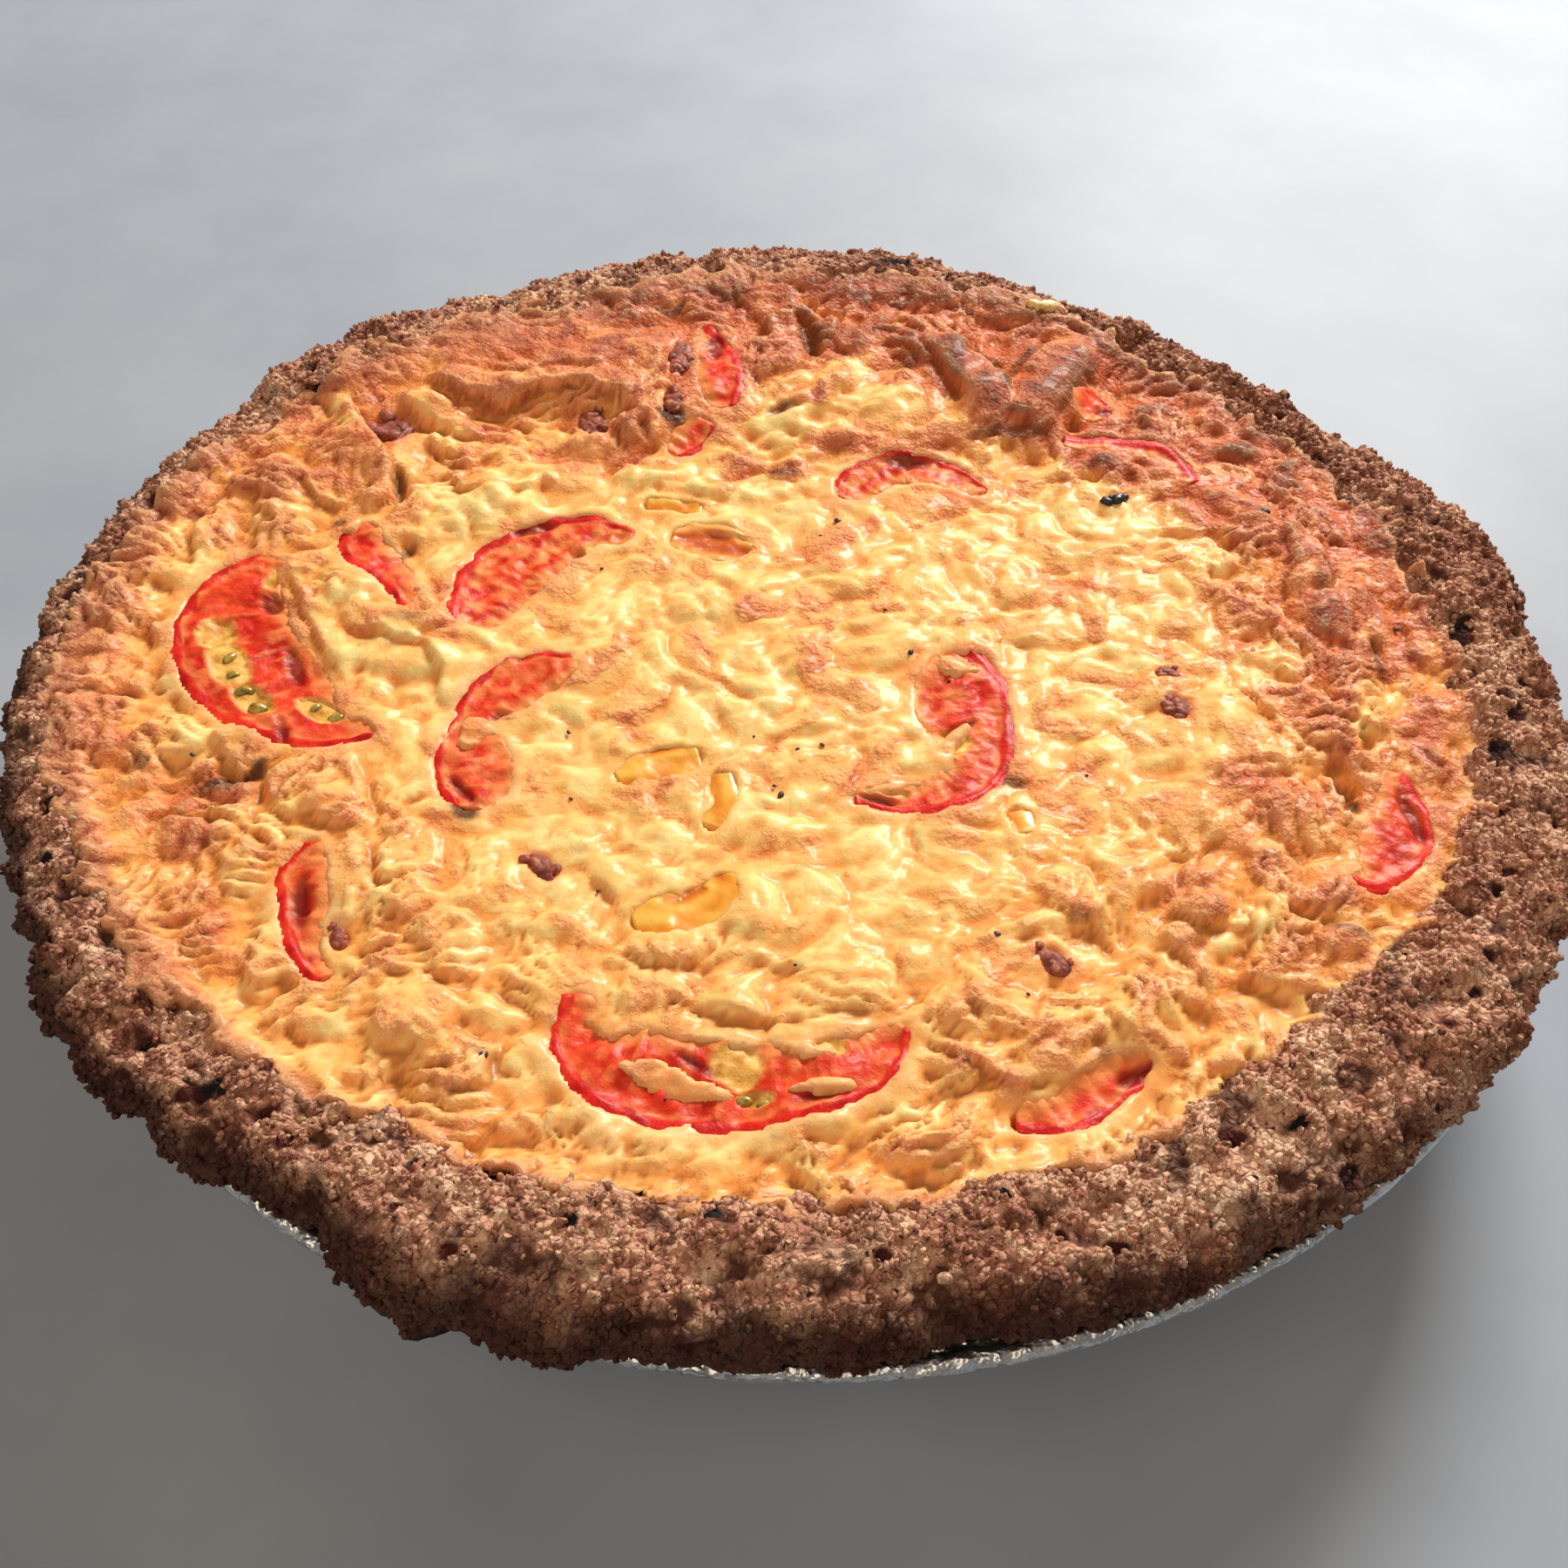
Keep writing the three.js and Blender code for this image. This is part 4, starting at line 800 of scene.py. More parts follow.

# %% [markdown]
# How brown a place is follows from the oven: what stands high and far out toasts first, what
# is folded away stays yellow. The masks are measured on the height map and steered by named
# patches, then kept on the mesh as attributes, which the materials read. Some of them carry
# painted light: painted shade in creases and hollows, and a painted highlight on ridges.
# Painting by hand would do as well, but rules keep colour and relief together when the relief
# changes.

# %% Where the custard is toasted, pale, blushed or burnt, and where shade is painted
# Toasted patches: x, y, half length, half width, turn, how brown.
TOASTED = (
    (-50, 64, 26, 14, 10, 0.66), (-66, 60, 14, 8, 0, 0.7), (-37, 73, 12, 8, 30, 0.62),
    (-58, 80, 12, 6, 20, 0.8), (10, 84, 36, 9, -4, 0.82), (-14, 80, 8, 9, 0, 0.72),
    (28, 70, 14, 8, -60, 0.92), (46, 66, 14, 9, 60, 0.98), (38, 56, 11, 7, 0, 0.95),
    (16, 68, 6, 4, -60, 0.8), (17, 80, 8, 6, 0, 0.72), (0, 59, 9, 3.6, 45, 0.8),
    (-2, 41, 6, 3.5, 0, 0.72), (-12, 42, 7, 4, 0, 0.6), (8, 49, 10, 3, -5, 0.55),
    (24, 50, 9, 4, 15, 0.6), (-46, 42, 10, 6, -20, 0.45), (-32, 46, 6, 8, 0, 0.68),
    (62, 52, 16, 9, -20, 0.72), (54, 45, 10, 5, 0, 0.62), (80, 42, 16, 12, -40, 0.74),
    (76, 27, 12, 9, 0, 0.62), (77, 14, 10, 12, 0, 0.52), (90, 24, 9, 18, 10, 0.8),
    (88, 2, 11, 16, 0, 0.78), (97, 10, 8, 22, 0, 0.82), (92, -6, 7, 8, 0, 0.85),
    (80, -16, 7, 10, 20, 0.72), (85, -24, 5, 9, 0, 0.62), (98, -22, 7, 12, 0, 0.74),
    (71, -36, 13, 8, 0, 0.58), (68, -46, 9, 7, 0, 0.6), (57, -55, 8, 8, 0, 0.7),
    (75, -54, 11, 6, 15, 0.62), (74, -64, 12, 6, 0, 0.74), (54, -66, 5, 8, -30, 0.6),
    (56, -74, 8, 6, 0, 0.5), (54, -81, 8, 5, 30, 0.5), (24, -75, 9, 7, 0, 0.58),
    (36, -80, 9, 6, 0, 0.6), (15, -88, 7, 5, 0, 0.48), (24, -97, 17, 5, 0, 0.6),
    (-15, -68, 9, 6, 0, 0.42), (-2, -101, 24, 4, 0, 0.68), (-45, -83, 13, 8, -35, 0.62),
    (-38, -95, 13, 5, 15, 0.68), (-50, -64, 11, 6, -30, 0.5), (-57, -46, 8, 6, 0, 0.42),
    (-87, -51, 7, 7, 0, 0.64), (-79, -56, 7, 7, 0, 0.52), (-86, -41, 9, 6, 0, 0.82),
    (-80, -66, 8, 8, 0, 0.7), (-104, -30, 7, 22, 10, 0.62), (-98, 32, 10, 12, 30, 0.6),
    (-84, 37, 14, 10, -50, 0.64), (-90, 50, 10, 8, 0, 0.76), (-77, 47, 6, 8, 30, 0.75),
    (-60, 1, 8, 8, 0, 0.5), (-70, -4, 6, 4, 0, 0.5), (-52, 38, 10, 5, -30, 0.36),
    (2, -1, 6, 5, 0, 0.28), (-9, 5, 4, 6, 0, 0.3), (-20, -37, 9, 8, 0, 0.34),
    (0, -58, 6, 4, 0, 0.3), (52, 12, 12, 6, 30, 0.24), (40, -45, 14, 5, 0, 0.26),
    (45, -60, 8, 6, 0, 0.25), (18, 26, 10, 4, 0, 0.18), (6, -74, 10, 4, 0, 0.3),
    (30, -60, 9, 7, 0, 0.25), (-28, -68, 7, 4, 0, 0.3), (-37, -73, 3, 3, 0, 0.6),
    (-60, -78, 9, 5, -40, 0.45), (60, -14, 5, 10, 0, 0.3), (40, -59, 4, 3, 0, 0.5),
    (8, 64, 20, 9, 0, 0.46), (22, 48, 14, 5, 10, 0.4),
)
# Places that stayed pale: x, y, half length, half width, turn.
PALE = (
    (-56, 26, 9, 7, 10), (-64, 29, 5, 6, 60), (-64, 45, 7, 5, -20), (-68, 52, 7, 3, -30),
    (-64, -12, 12, 6, -8), (-75, 4, 5, 10, 30), (-101, 4, 6, 16, 10), (-97, -22, 5, 8, -40),
    (-90, -30, 7, 4, -25), (63, -60, 9, 2.6, 35), (92, -14, 6, 4, 30), (89, -21, 4, 4, 0),
    (12, 60, 10, 4, -10), (-6, 52, 12, 4, 20), (6, 44, 4, 4, 0), (31, 45, 7, 4, 40),
    (50, 34, 12, 9, -30), (62, 30, 9, 6, -20), (70, 20, 4, 8, 20), (-26, 36, 12, 5, 10),
    (-44, 33, 10, 4, 0), (-72, -46, 7, 5, 0), (-73, -63, 12, 4, -60), (-60, -71, 8, 3, -25),
    (-14, -94, 14, 4, 0), (10, -92, 12, 3, 0), (42, -88, 9, 4, 30), (46, -76, 5, 3, -20),
    (-40, -68, 10, 4, -20), (-56, -56, 4, 8, 20), (-5, -58, 4, 6, 0), (6, -50, 8, 5, 0),
    (-35, -45, 8, 6, 0), (-30, -88, 6, 3, 0), (-48, 49, 6, 5, 0), (-85, 50, 3, 6, 25),
    (75, -8, 6, 4, -30), (-55, -38, 6, 5, 0), (6, 68, 7, 4, 20),
)
# Pink stains of tomato and meat under the skin: x, y, half length, half width, turn, strength.
BLUSHED = (
    (9, 35, 7, 5, 20, 0.6), (4, 18, 8, 5, 10, 0.3), (28, 36, 6, 3.4, -20, 0.6),
    (18, -9, 4, 3, 40, 0.45), (-50, 6, 6, 8, 20, 0.35), (47.5, 12, 4, 2.4, 40, 0.65),
    (2, 34, 7, 5, 0, 0.2), (-68, -46, 4, 6, 30, 0.3), (-42, 40, 5, 4, 0, 0.35),
    (-44, 8, 5, 6, 20, 0.3), (80, -8, 4, 5, 0, 0.15), (10, -26, 5, 6, 0, 0.12),
    (-82, -62, 6, 8, 20, 0.25), (12, 27, 2.4, 1.4, 20, 0.75), (-22, -94, 5, 3, 0, 0.2),
)
# Small dark places, partly burnt spots and partly painted shade in creases and under folds:
# x, y, half length, half width, turn, strength.
SCORCHED_AND_SHADED = (
    (-85, -39, 4.5, 2.2, 10, 0.85), (-81, -37, 1.2, 4, -30, 0.9), (-97, -36.5, 1.6, 1.6, 0, 0.6),
    (-5, 56, 3, 1.6, 30, 0.7), (-4, 40.5, 3.4, 1.5, 0, 0.7), (93, -5, 1.4, 5, 0, 0.6),
    (82.5, -34, 1.2, 4.4, 12, 0.9), (54, 44, 4, 1.6, 10, 0.6), (-71.6, 31, 1.2, 4, 8, 0.8),
    (-67.5, 14.5, 2.8, 1.4, 60, 0.7), (0, 80, 2.4, 6, 10, 0.7), (19, 72, 2.4, 3, 0, 0.5),
    (-25, 53, 2.6, 3.2, 40, 0.95), (87, 12, 1.2, 3, 0, 0.5), (-64, -3.5, 4, 1.6, 0, 0.45),
    (38, 51.5, 9, 1.3, 4, 0.6), (37, 64, 1.2, 5, 0, 0.6), (33.5, 74, 7, 1.2, -60, 0.55),
    (42, 74, 7, 1.2, 56, 0.55), (22.5, 71, 12, 1.1, -69, 0.4), (51.5, 66, 11, 1.2, 63, 0.5),
    (-66, -45.5, 1.4, 1.2, 0, 0.3), (-39, -84, 1.4, 1, 0, 0.3), (40, -58.8, 2, 1.2, 0, 0.35),
    (-80, 20.8, 1.6, 1.4, 0, 0.7), (32.5, -32.2, 2.4, 1.5, -10, 0.7),
    (-48, -42.5, 2.6, 2, -40, 0.9), (76, -60.5, 4, 1, -25, 0.6), (41, -81, 1.6, 1.2, 30, 0.5),
    (-37, -86, 0.8, 3, 0, 0.5), (-87, 28, 1, 5, 35, 0.4), (25.4, -21.5, 3, 0.8, 30, 0.4),
    (50, 66, 1.4, 5, -15, 0.35),
)

TOAST_SHARE = 0.8


def stamped(mask, shapes, full, gone, uneven, share=1.0):
    """Raises a mask to each shape's own strength inside its oval."""
    for shape in shapes:
        inside = inside_oval(net_x, net_y, shape, full, gone, uneven)
        mask = np.maximum(mask, share * shape[5] * inside)
    return mask


raised = np.clip((skin_z - skin_soft) / 0.8, -1, 1)
tight = np.clip((top_z - blur(top_z, 0.9)) / 0.35, -1, 1) * (0.76 + 0.24 * ring)
patchy = 0.17 * swirls(bend_x, bend_y, 111, 11) + 0.13 * swirls(bend_x, bend_y, 112, 5)
patchy += 0.09 * swirls(bend_x, bend_y, 113, 2.2)
far_side = smooth(-20, 90, net_y + 0.45 * net_x)
near_side = smooth(-20, -75, net_y + 0.2 * np.abs(net_x))
toast = 0.1 + 0.2 * ring + 0.06 * smooth(0.85, 1, net_out) + 0.38 * ring * far_side
toast = stamped(toast, TOASTED, 0.4, 1.4, 1.5 * patchy, TOAST_SHARE)
for shape in PALE:
    toast = toast * (1 - 0.75 * inside_oval(net_x, net_y, shape, 0.6, 1.25, patchy))
swollen = np.clip((skin_z - blur(skin_z, 5)) / 1.4, -1, 1)
middle = 1 - ring
cream = smooth(-0.05, 0.3, swirls(bend_x, bend_y, 115, 13) + 0.3 * swirls(bend_x, bend_y, 116, 4))
tanned = smooth(0.12, 0.4, swirls(bend_x, bend_y, 117, 9) + 0.35 * swirls(bend_x, bend_y, 118, 3))
toast = toast + middle * (0.22 * tanned - 0.1 * cream + 0.05 * smooth(-10, 40, net_x))
toast = toast * (1 - 0.52 * near_side) + (0.75 + 0.4 * ring) * patchy
toast = toast + ring * (0.1 * raised + 0.08 * swollen)
blush = 0.42 * near_tomato * (1 - opened)
for shape in SCRAPPLE.values():
    blush = np.maximum(blush, 0.5 * inside_oval(net_x, net_y, shape, 0.9, 1.7, 1.5 * patchy))
blush = stamped(blush, BLUSHED, 0.3, 1.25, patchy)
# Painted shade: how far a place lies below its soft surroundings, so that hollows get an orange
# shade.
custard_dip_shade = np.clip((blur(skin_z, 2.6) - skin_z) / 0.7, 0, 1)
custard_dip_shade = custard_dip_shade + 0.6 * np.clip((blur(skin_z, 6) - skin_z) / 1.5, 0, 1)
custard_dip_shade = np.clip(custard_dip_shade, 0, 1) * (1 - over_crust) * (0.76 + 0.24 * ring)
# Painted shade in the tight creases of the ring, then burnt spots and more painted shade at the
# listed places.
scorch_and_crease_shade = 0.35 * smooth(0.5, 1, -tight) * ring
scorch_and_crease_shade = stamped(scorch_and_crease_shade, SCORCHED_AND_SHADED, 0.55, 1.2, 1.2 * patchy)
film = smooth(0.02, 0.2, net_across) * smooth(0.05, 0.75, net_across / np.maximum(film_end, 0.05))
toast = np.clip(toast + 0.16 * film, 0, 1)
print("mean toast in the ring:", round(float(toast[(ring > 0.9) & (net_out < 1)].mean()), 2))

# %% [markdown]
# Meshes are made straight from arrays of points and faces. Two helpers keep that short: one
# closes an open sheet with a wall and a floor, so that every piece is a solid body, and one
# makes the Blender object, sets the attributes, hides the CAD pieces it stands for, and prints
# what it made.

# %% Helpers that make pieces
SOFT_EDGE = 0.8
pieces_made = {}


def square_faces(numbers):
    """The four-sided faces between neighbouring points of a net."""
    corners = [numbers[:-1, :-1], numbers[1:, :-1], numbers[1:, 1:], numbers[:-1, 1:]]
    return np.stack(corners, axis=-1)


def ring_at(radius, height, angle):
    """Points round the middle of the pie, at a radius and height that may change with the angle."""
    across = [radius * np.cos(angle), radius * np.sin(angle)]
    return np.stack([*across, height + 0 * angle], axis=-1)


def close_below(points, faces, floor_points, centre):
    """Adds a wall from the open edge of a sheet down to floor points, and a fan that closes it."""
    edges = np.concatenate([faces[:, [k, (k + 1) % 4]] for k in range(4)])
    keys = edges[:, 0] * len(points) + edges[:, 1]
    back = edges[:, 1] * len(points) + edges[:, 0]
    open_edges = edges[~np.isin(keys, back)]
    rim = np.unique(open_edges)
    lower = np.full(len(points), -1)
    lower[rim] = len(points) + np.arange(len(rim))
    a, b = open_edges.T
    wall = np.stack([b, a, lower[a], lower[b]], axis=1)
    middle = len(points) + len(rim)
    fan = np.stack([lower[b], lower[a], np.full(len(a), middle)], axis=1)
    points = np.vstack([points, floor_points(points[rim]), [centre]])
    return points, wall, fan


def kept_inside(points):
    """Bends anything that nears the sides or top of the CAD model's box back inside it."""
    low, high = (np.array(corner) / MM for corner in cad_bounds)
    low[2] = -1
    over, under = points - (high - SOFT_EDGE), (low + SOFT_EDGE) - points
    bent_down = high - SOFT_EDGE + 0.95 * SOFT_EDGE * np.tanh(over / SOFT_EDGE)
    points = np.where(over > 0, bent_down, points)
    bent_up = low + SOFT_EDGE - 0.95 * SOFT_EDGE * np.tanh(under / SOFT_EDGE)
    return np.where(under > 0, bent_up, points)


def make_piece(name, points, faces, masks=None, replaced=()):
    """Makes one object from points in mm and groups of faces, hangs it under the root body and
    hides the CAD pieces it replaces.
    """
    mesh = bpy.data.meshes.new(name)
    places = kept_inside(np.asarray(points)) * MM
    mesh.from_pydata(places.tolist(), [], [face for group in faces for face in group.tolist()])
    mesh.update()
    mesh.shade_smooth()
    for mask, values in (masks or {}).items():
        filled = np.zeros(len(points), np.float32)
        filled[:len(values)] = values
        mesh.attributes.new(mask, "FLOAT", "POINT").data.foreach_set("value", filled)
    piece = bpy.data.objects.new(name, mesh)
    bpy.context.scene.collection.objects.link(piece)
    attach(piece, "root")
    for node in replaced:
        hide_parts(node)
    pieces_made[name] = piece
    print(f"{name}: {len(points)} points, {sum(len(group) for group in faces)} faces")
    return piece


def set_bake_map(piece, spots):
    """Gives each face corner its place on a flat map, x and y from 0 to 1."""
    layer = piece.data.uv_layers.new(name="OFBake")
    layer.data.foreach_set("uv", np.asarray(spots, np.float32).ravel())


# %% Make the custard
CUSTARD_DOWN_Z, CUSTARD_FOOT_Z, CUSTARD_FOOT_R = 24, 29, 103
FILM_SPARE, NET_KEPT_R = 0.115, 121
covered = (net_across < film_end + FILM_SPARE) & (net_r < NET_KEPT_R)
number = np.full(net_x.shape, -1)
corner = covered[:-1, :-1] & covered[1:, :-1] & covered[1:, 1:] & covered[:-1, 1:]
used = np.zeros(net_x.shape, bool)
for di, dj in ((0, 0), (1, 0), (1, 1), (0, 1)):
    used[di:used.shape[0] - 1 + di, dj:used.shape[1] - 1 + dj] |= corner
number[used] = np.arange(used.sum())
top_faces = square_faces(number)[corner]
top_points = np.stack([net_x[used], net_y[used], top_z[used]], axis=1)


def custard_wall(rim):
    """The foot of the hidden side, drawn in so that it stays inside the crust and the tin."""
    drawn_in = np.minimum(0.94, CUSTARD_FOOT_R / np.hypot(rim[:, :1], rim[:, 1:2]))
    return rim * np.array([1, 1, 0]) * drawn_in + np.array([0, 0, CUSTARD_FOOT_Z])


custard_points, custard_walls, custard_floor = close_below(
    top_points, top_faces, custard_wall, (0, 0, CUSTARD_DOWN_Z))
# The masks for creases and hollows carry painted shade, the one for ridges carries a painted
# highlight, and the burnt one carries both burnt spots and painted shade.
custard_masks = {
    "toast": toast[used], "blush": blush[used], "scorch_and_crease_shade": scorch_and_crease_shade[used], "film": film[used],
    "deep": np.clip(-tight[used], 0, 1), "high": np.clip(tight[used], 0, 1),
    "pepper_near": near_pepper[used], "hollow_shade": custard_dip_shade[used],
}
custard = make_piece(
    "custard_skin", custard_points, (top_faces, custard_walls, custard_floor),
    custard_masks, ["custard"])
flat = custard_points[:, :2] / (2 * NET_HALF + 4) + 0.5
hidden = np.concatenate([custard_walls.ravel(), custard_floor.ravel()])
set_bake_map(custard, np.vstack([flat[top_faces.ravel()], 0.004 + 0.05 * flat[hidden]]))

# %% [markdown]
# The crust is coarse, crumbly pastry that stands up as a rough bank and hangs over the rim.
# Remeshing and sculpting would give crags, but a ring-shaped net pushed out along its own
# normals by cells of three sizes gives chunks, crumbs and grains with real gaps between them,
# and leaves the places smooth where the custard film drapes over it.

# %% Form the crust
CRUST_COLUMNS = 1344
TOP_ROWS = 65
OUTER_ROWS = 40
CHUNK_MM, CRUMB_MM, GRAIN_MM = 8, 2.7, 1.35
crust_angle = np.linspace(0, TAU, CRUST_COLUMNS, endpoint=False)


def crust_rings():
    """The top of the crust as rows from the outer edge to the custard: x, y, z and how far over."""
    inner, outer, jut = crust_span(crust_angle)
    quarter = np.linspace(TAU / 4, 0, OUTER_ROWS, endpoint=False)
    outer_part = CREST_AT + (1 - CREST_AT) * np.sin(quarter)
    inner_part = np.linspace(CREST_AT, 0, TOP_ROWS - OUTER_ROWS)
    across = np.concatenate([outer_part, inner_part])[:, None]
    r = inner + (outer + jut * across - inner) * across
    x, y = r * np.cos(crust_angle), r * np.sin(crust_angle)
    return x, y, crust_height(x, y, across), across + 0 * x


top_x, top_y, top_crust_z, top_across = crust_rings()


def net_normals(x, y, z):
    """The way each point of a ring-shaped net faces, outward."""
    down = np.stack([np.gradient(c, axis=0) for c in (x, y, z)], axis=-1)
    round_ = np.stack([np.roll(c, -1, axis=1) - np.roll(c, 1, axis=1) for c in (x, y, z)], axis=-1)
    normal = np.cross(down, round_)
    normal *= np.sign(normal[..., 2].mean())
    return normal / np.linalg.norm(normal, axis=-1, keepdims=True)


normals = net_normals(top_x, top_y, top_crust_z)
place = (top_x, top_y, top_crust_z)
crust_film_end = ragged_film_end(top_x, top_y)
bare = smooth(crust_film_end - 0.14, crust_film_end + 0.06, top_across)
top_angle = np.arctan2(top_y, top_x) + math.pi
chunk_near, chunk_second, chunk_number = cells([c / CHUNK_MM for c in place], 121)
crumb_near, _, crumb_number = cells([c / CRUMB_MM for c in place], 131)
grain_near, _, grain_number = cells([c / GRAIN_MM for c in place], 141)
gaps = smooth(0.22, 0.0, chunk_second - chunk_near) * smooth(0.35, 0.7, chunk_number)
coarse = smooth(-0.2, 0.5, lumps(top_x, top_y, 151, 17))
swell = 0.9 * lumps(top_angle * 22, top_across * 4, 152)
swell = swell + 0.7 * lumps(top_angle * 46, top_across * 7, 153)
lumpy = 0.8 * swirls(top_x / 9 + top_crust_z / 9, top_y / 9, 156)
lumpy = lumpy + 0.5 * swirls(top_x / 4.2, (top_y + top_crust_z) / 4.2, 157)
push = 0.5 * (0.5 - chunk_near) + (0.9 + 0.6 * coarse) * (0.5 - crumb_near)
push = push + 0.8 * (0.5 - grain_near) - 0.3 * gaps + 0.8 * lumpy

# Holes in the crust, dipped in and painted near-black as shade: x, y, half length, half width,
# turn, depth.
CRUST_PITS = (
    (119, 9, 1.8, 1.4, 0, 1.2), (107, -8, 1.6, 1.2, 60, 1), (115, -10, 2, 1.4, 0, 1.2),
    (110, -14, 1.8, 2.4, 0, 1.4), (111, -18, 2.4, 1.6, 40, 1.4), (106, -26, 2, 3.2, -15, 1.8),
    (103, -38, 1.8, 2.6, 0, 1.3), (105, -41, 2, 1.4, 30, 1.2), (112.5, -39, 1.3, 1.3, 0, 0.8),
    (98, -53, 1.8, 1.4, 0, 1.2), (101, -50, 1.6, 1.2, 0, 1), (95, -64, 1.5, 1.2, 0, 1),
    (91.5, -70, 1.6, 1.3, 0, 1), (104, -66, 1.3, 1.1, 0, 0.8), (83.5, -86, 1.5, 1.1, 40, 1),
    (64, -83, 1.2, 1.2, 0, 0.6), (55, -92.5, 2.2, 1.8, -30, 1.6), (48.5, -96.5, 1.4, 1, 0, 0.9),
    (64, -91, 2.8, 1.4, 20, 1.4), (26.5, -103, 1.3, 0.9, 0, 0.8), (33.5, -106.5, 1.2, 0.9, 0, 0.8),
    (-36, -98, 1.8, 1, 30, 0.9), (-34, -100.5, 2.2, 1.3, 0, 1.4), (-44, -101, 2, 1.6, 0, 1.2),
    (-72, -92, 5, 1.9, 8, 2), (-64, -95, 2.6, 1.4, 30, 1.4), (-60, -99, 2, 1.2, 0, 1.2),
    (-38, -112, 1.6, 1.1, 0, 1), (-45, -107, 0.9, 1.6, -20, 1), (-100, -62, 2, 1.5, 0, 1.3),
    (-88, -70, 1.8, 2.8, 30, 1.6), (-88, -65.5, 1.6, 1.4, 0, 1.2), (-107, -46, 2, 2.6, 20, 1.3),
    (-104, -56, 2.4, 1.6, 0, 1.2), (-80, -76, 3, 1.2, -40, 1), (-117, 4, 2.6, 3, 0, 2),
    (-118, -2, 2, 2.6, 0, 1.8), (-113, 24, 1.6, 2, 0, 1.4), (-112, 15, 1.1, 1, 0, 0.8),
    (-46, 94, 2, 1.8, 0, 1.4), (-32, 103, 1.7, 1.7, 0, 1.2), (-94, 62, 1.6, 2.4, 0, 1.8),
    (-92, 56, 2, 1.8, 0, 1.6), (-18, 99, 3, 1.6, 0, 1.6), (18, 103, 4, 2, 0, 1.6),
    (44, 92, 2.4, 1.4, -20, 1.4), (88, 62, 2.6, 1.8, -30, 1.4), (100, 37, 1.2, 0.8, 0, 0.8),
    (108, 2, 3, 4, 0, 1.2), (12, -111, 1.8, 1, 0, 1.2), (-8, -107, 3, 1.4, 0, 1.2),
    (-2, -103, 2, 1.2, 0, 1), (70, -97, 2, 1.2, 40, 1.2), (40, -108, 2, 1.1, 0, 1.2),
    (-24, -108, 1.5, 1.2, 0, 1), (-82, -85, 1.6, 1.3, 0, 1.2), (86, -76, 1.4, 1.2, 0, 1),
    (94, 48, 2, 1.2, -50, 1), (70, 82, 2, 1.4, 0, 1.2), (-62, 86, 2, 1.4, 0, 1.1),
)
# Holes dip the crust, and their mask paints them near-black as shade.
pit_shade = np.zeros(top_x.shape)
for shape in CRUST_PITS:
    edge = oval(top_x, top_y, shape) + 0.9 * (crumb_near - 0.4)
    edge = edge + 0.3 * lumps(top_x, top_y, 154, 1.1)
    dip = 1 - smooth(0.4, 1.2, edge)
    pit_shade = np.maximum(pit_shade, dip)
    push = push - 0.7 * shape[5] * dip
small_pits = smooth(0.24, 0.06, crumb_near) * (crumb_number > 0.91)
push = push - 1.3 * small_pits
# How low a place lies among the crumbs: the finish paints shade there, and fewer crumbs land there.
hollow_shade = np.clip(0.15 - push, 0, 1.3) / 1.3
push = (push + swell) * bare - 0.9 * (1 - bare)
moved = np.stack(place, axis=-1) + normals * push[..., None]
print_range("crust relief", push)

# %% Close the crust round the tin and make it
def dented(r, angle):
    """A radius of the tin or the crust on it, pushed in where the rim is dented."""
    deep, middle, spread = DENT
    dent = deep * bell(np.degrees(angle) % 360 - middle, spread)
    return r - dent * smooth(TIN_BASE_R, TIN_RIM_R, r)


rim_r = np.hypot(moved[0, :, 0], moved[0, :, 1])
over_bead = TIN_RIM_Z + BEAD + GAP
flap_hangs = smooth(123, 123.8, np.hypot(top_x[0], top_y[0]))
under = over_bead + 0.1 - flap(crust_angle, FLAP_DROP) * flap_hangs
WALL_CLEAR = 1.7
outer_rings = [
    (TIN_BASE_R - WALL_CLEAR, FOIL + GAP + 0.05),
    (dented(TIN_INSIDE_R - WALL_CLEAR, crust_angle), TIN_RIM_Z - 0.25),
    (dented(TIN_RIM_R - 3.9, crust_angle), TIN_RIM_Z + 0.35),
    (np.minimum(rim_r - 2, dented(TIN_RIM_R - 2, crust_angle)), over_bead),
    (np.minimum(rim_r - 1, dented(TIN_RIM_R + 0.7, crust_angle)), over_bead),
    (rim_r - 0.4, np.minimum(under, moved[0, :, 2] - 0.3)),
]
inner_rings = [
    (around(CUSTARD_EDGE_R, crust_angle) - 3, TIN_RIM_Z),
    (CRUST_FLOOR_R + 2, CRUST_THICK + 3),
    (CRUST_FLOOR_R, CRUST_THICK + 1),
]
outer_rings = [ring_at(radius, height, crust_angle) for radius, height in outer_rings]
inner_rings = [ring_at(radius, height, crust_angle) for radius, height in inner_rings]
all_rings = np.array(outer_rings + list(moved) + inner_rings)


def ring_faces(rows, columns):
    """The four-sided faces between neighbouring rings."""
    row, column = np.meshgrid(np.arange(rows - 1), np.arange(columns), indexing="ij")
    after = (column + 1) % columns
    return np.stack([row * columns + column, row * columns + after, (row + 1) * columns + after,
                     (row + 1) * columns + column], axis=-1).reshape(-1, 4)


def cap_faces(first, middle, columns, upward):
    """A fan from a ring of points to a point in its middle."""
    a = first + np.arange(columns)
    b = first + (np.arange(columns) + 1) % columns
    order = [a, b] if upward else [b, a]
    return np.stack(order + [np.full(columns, middle)], axis=1)


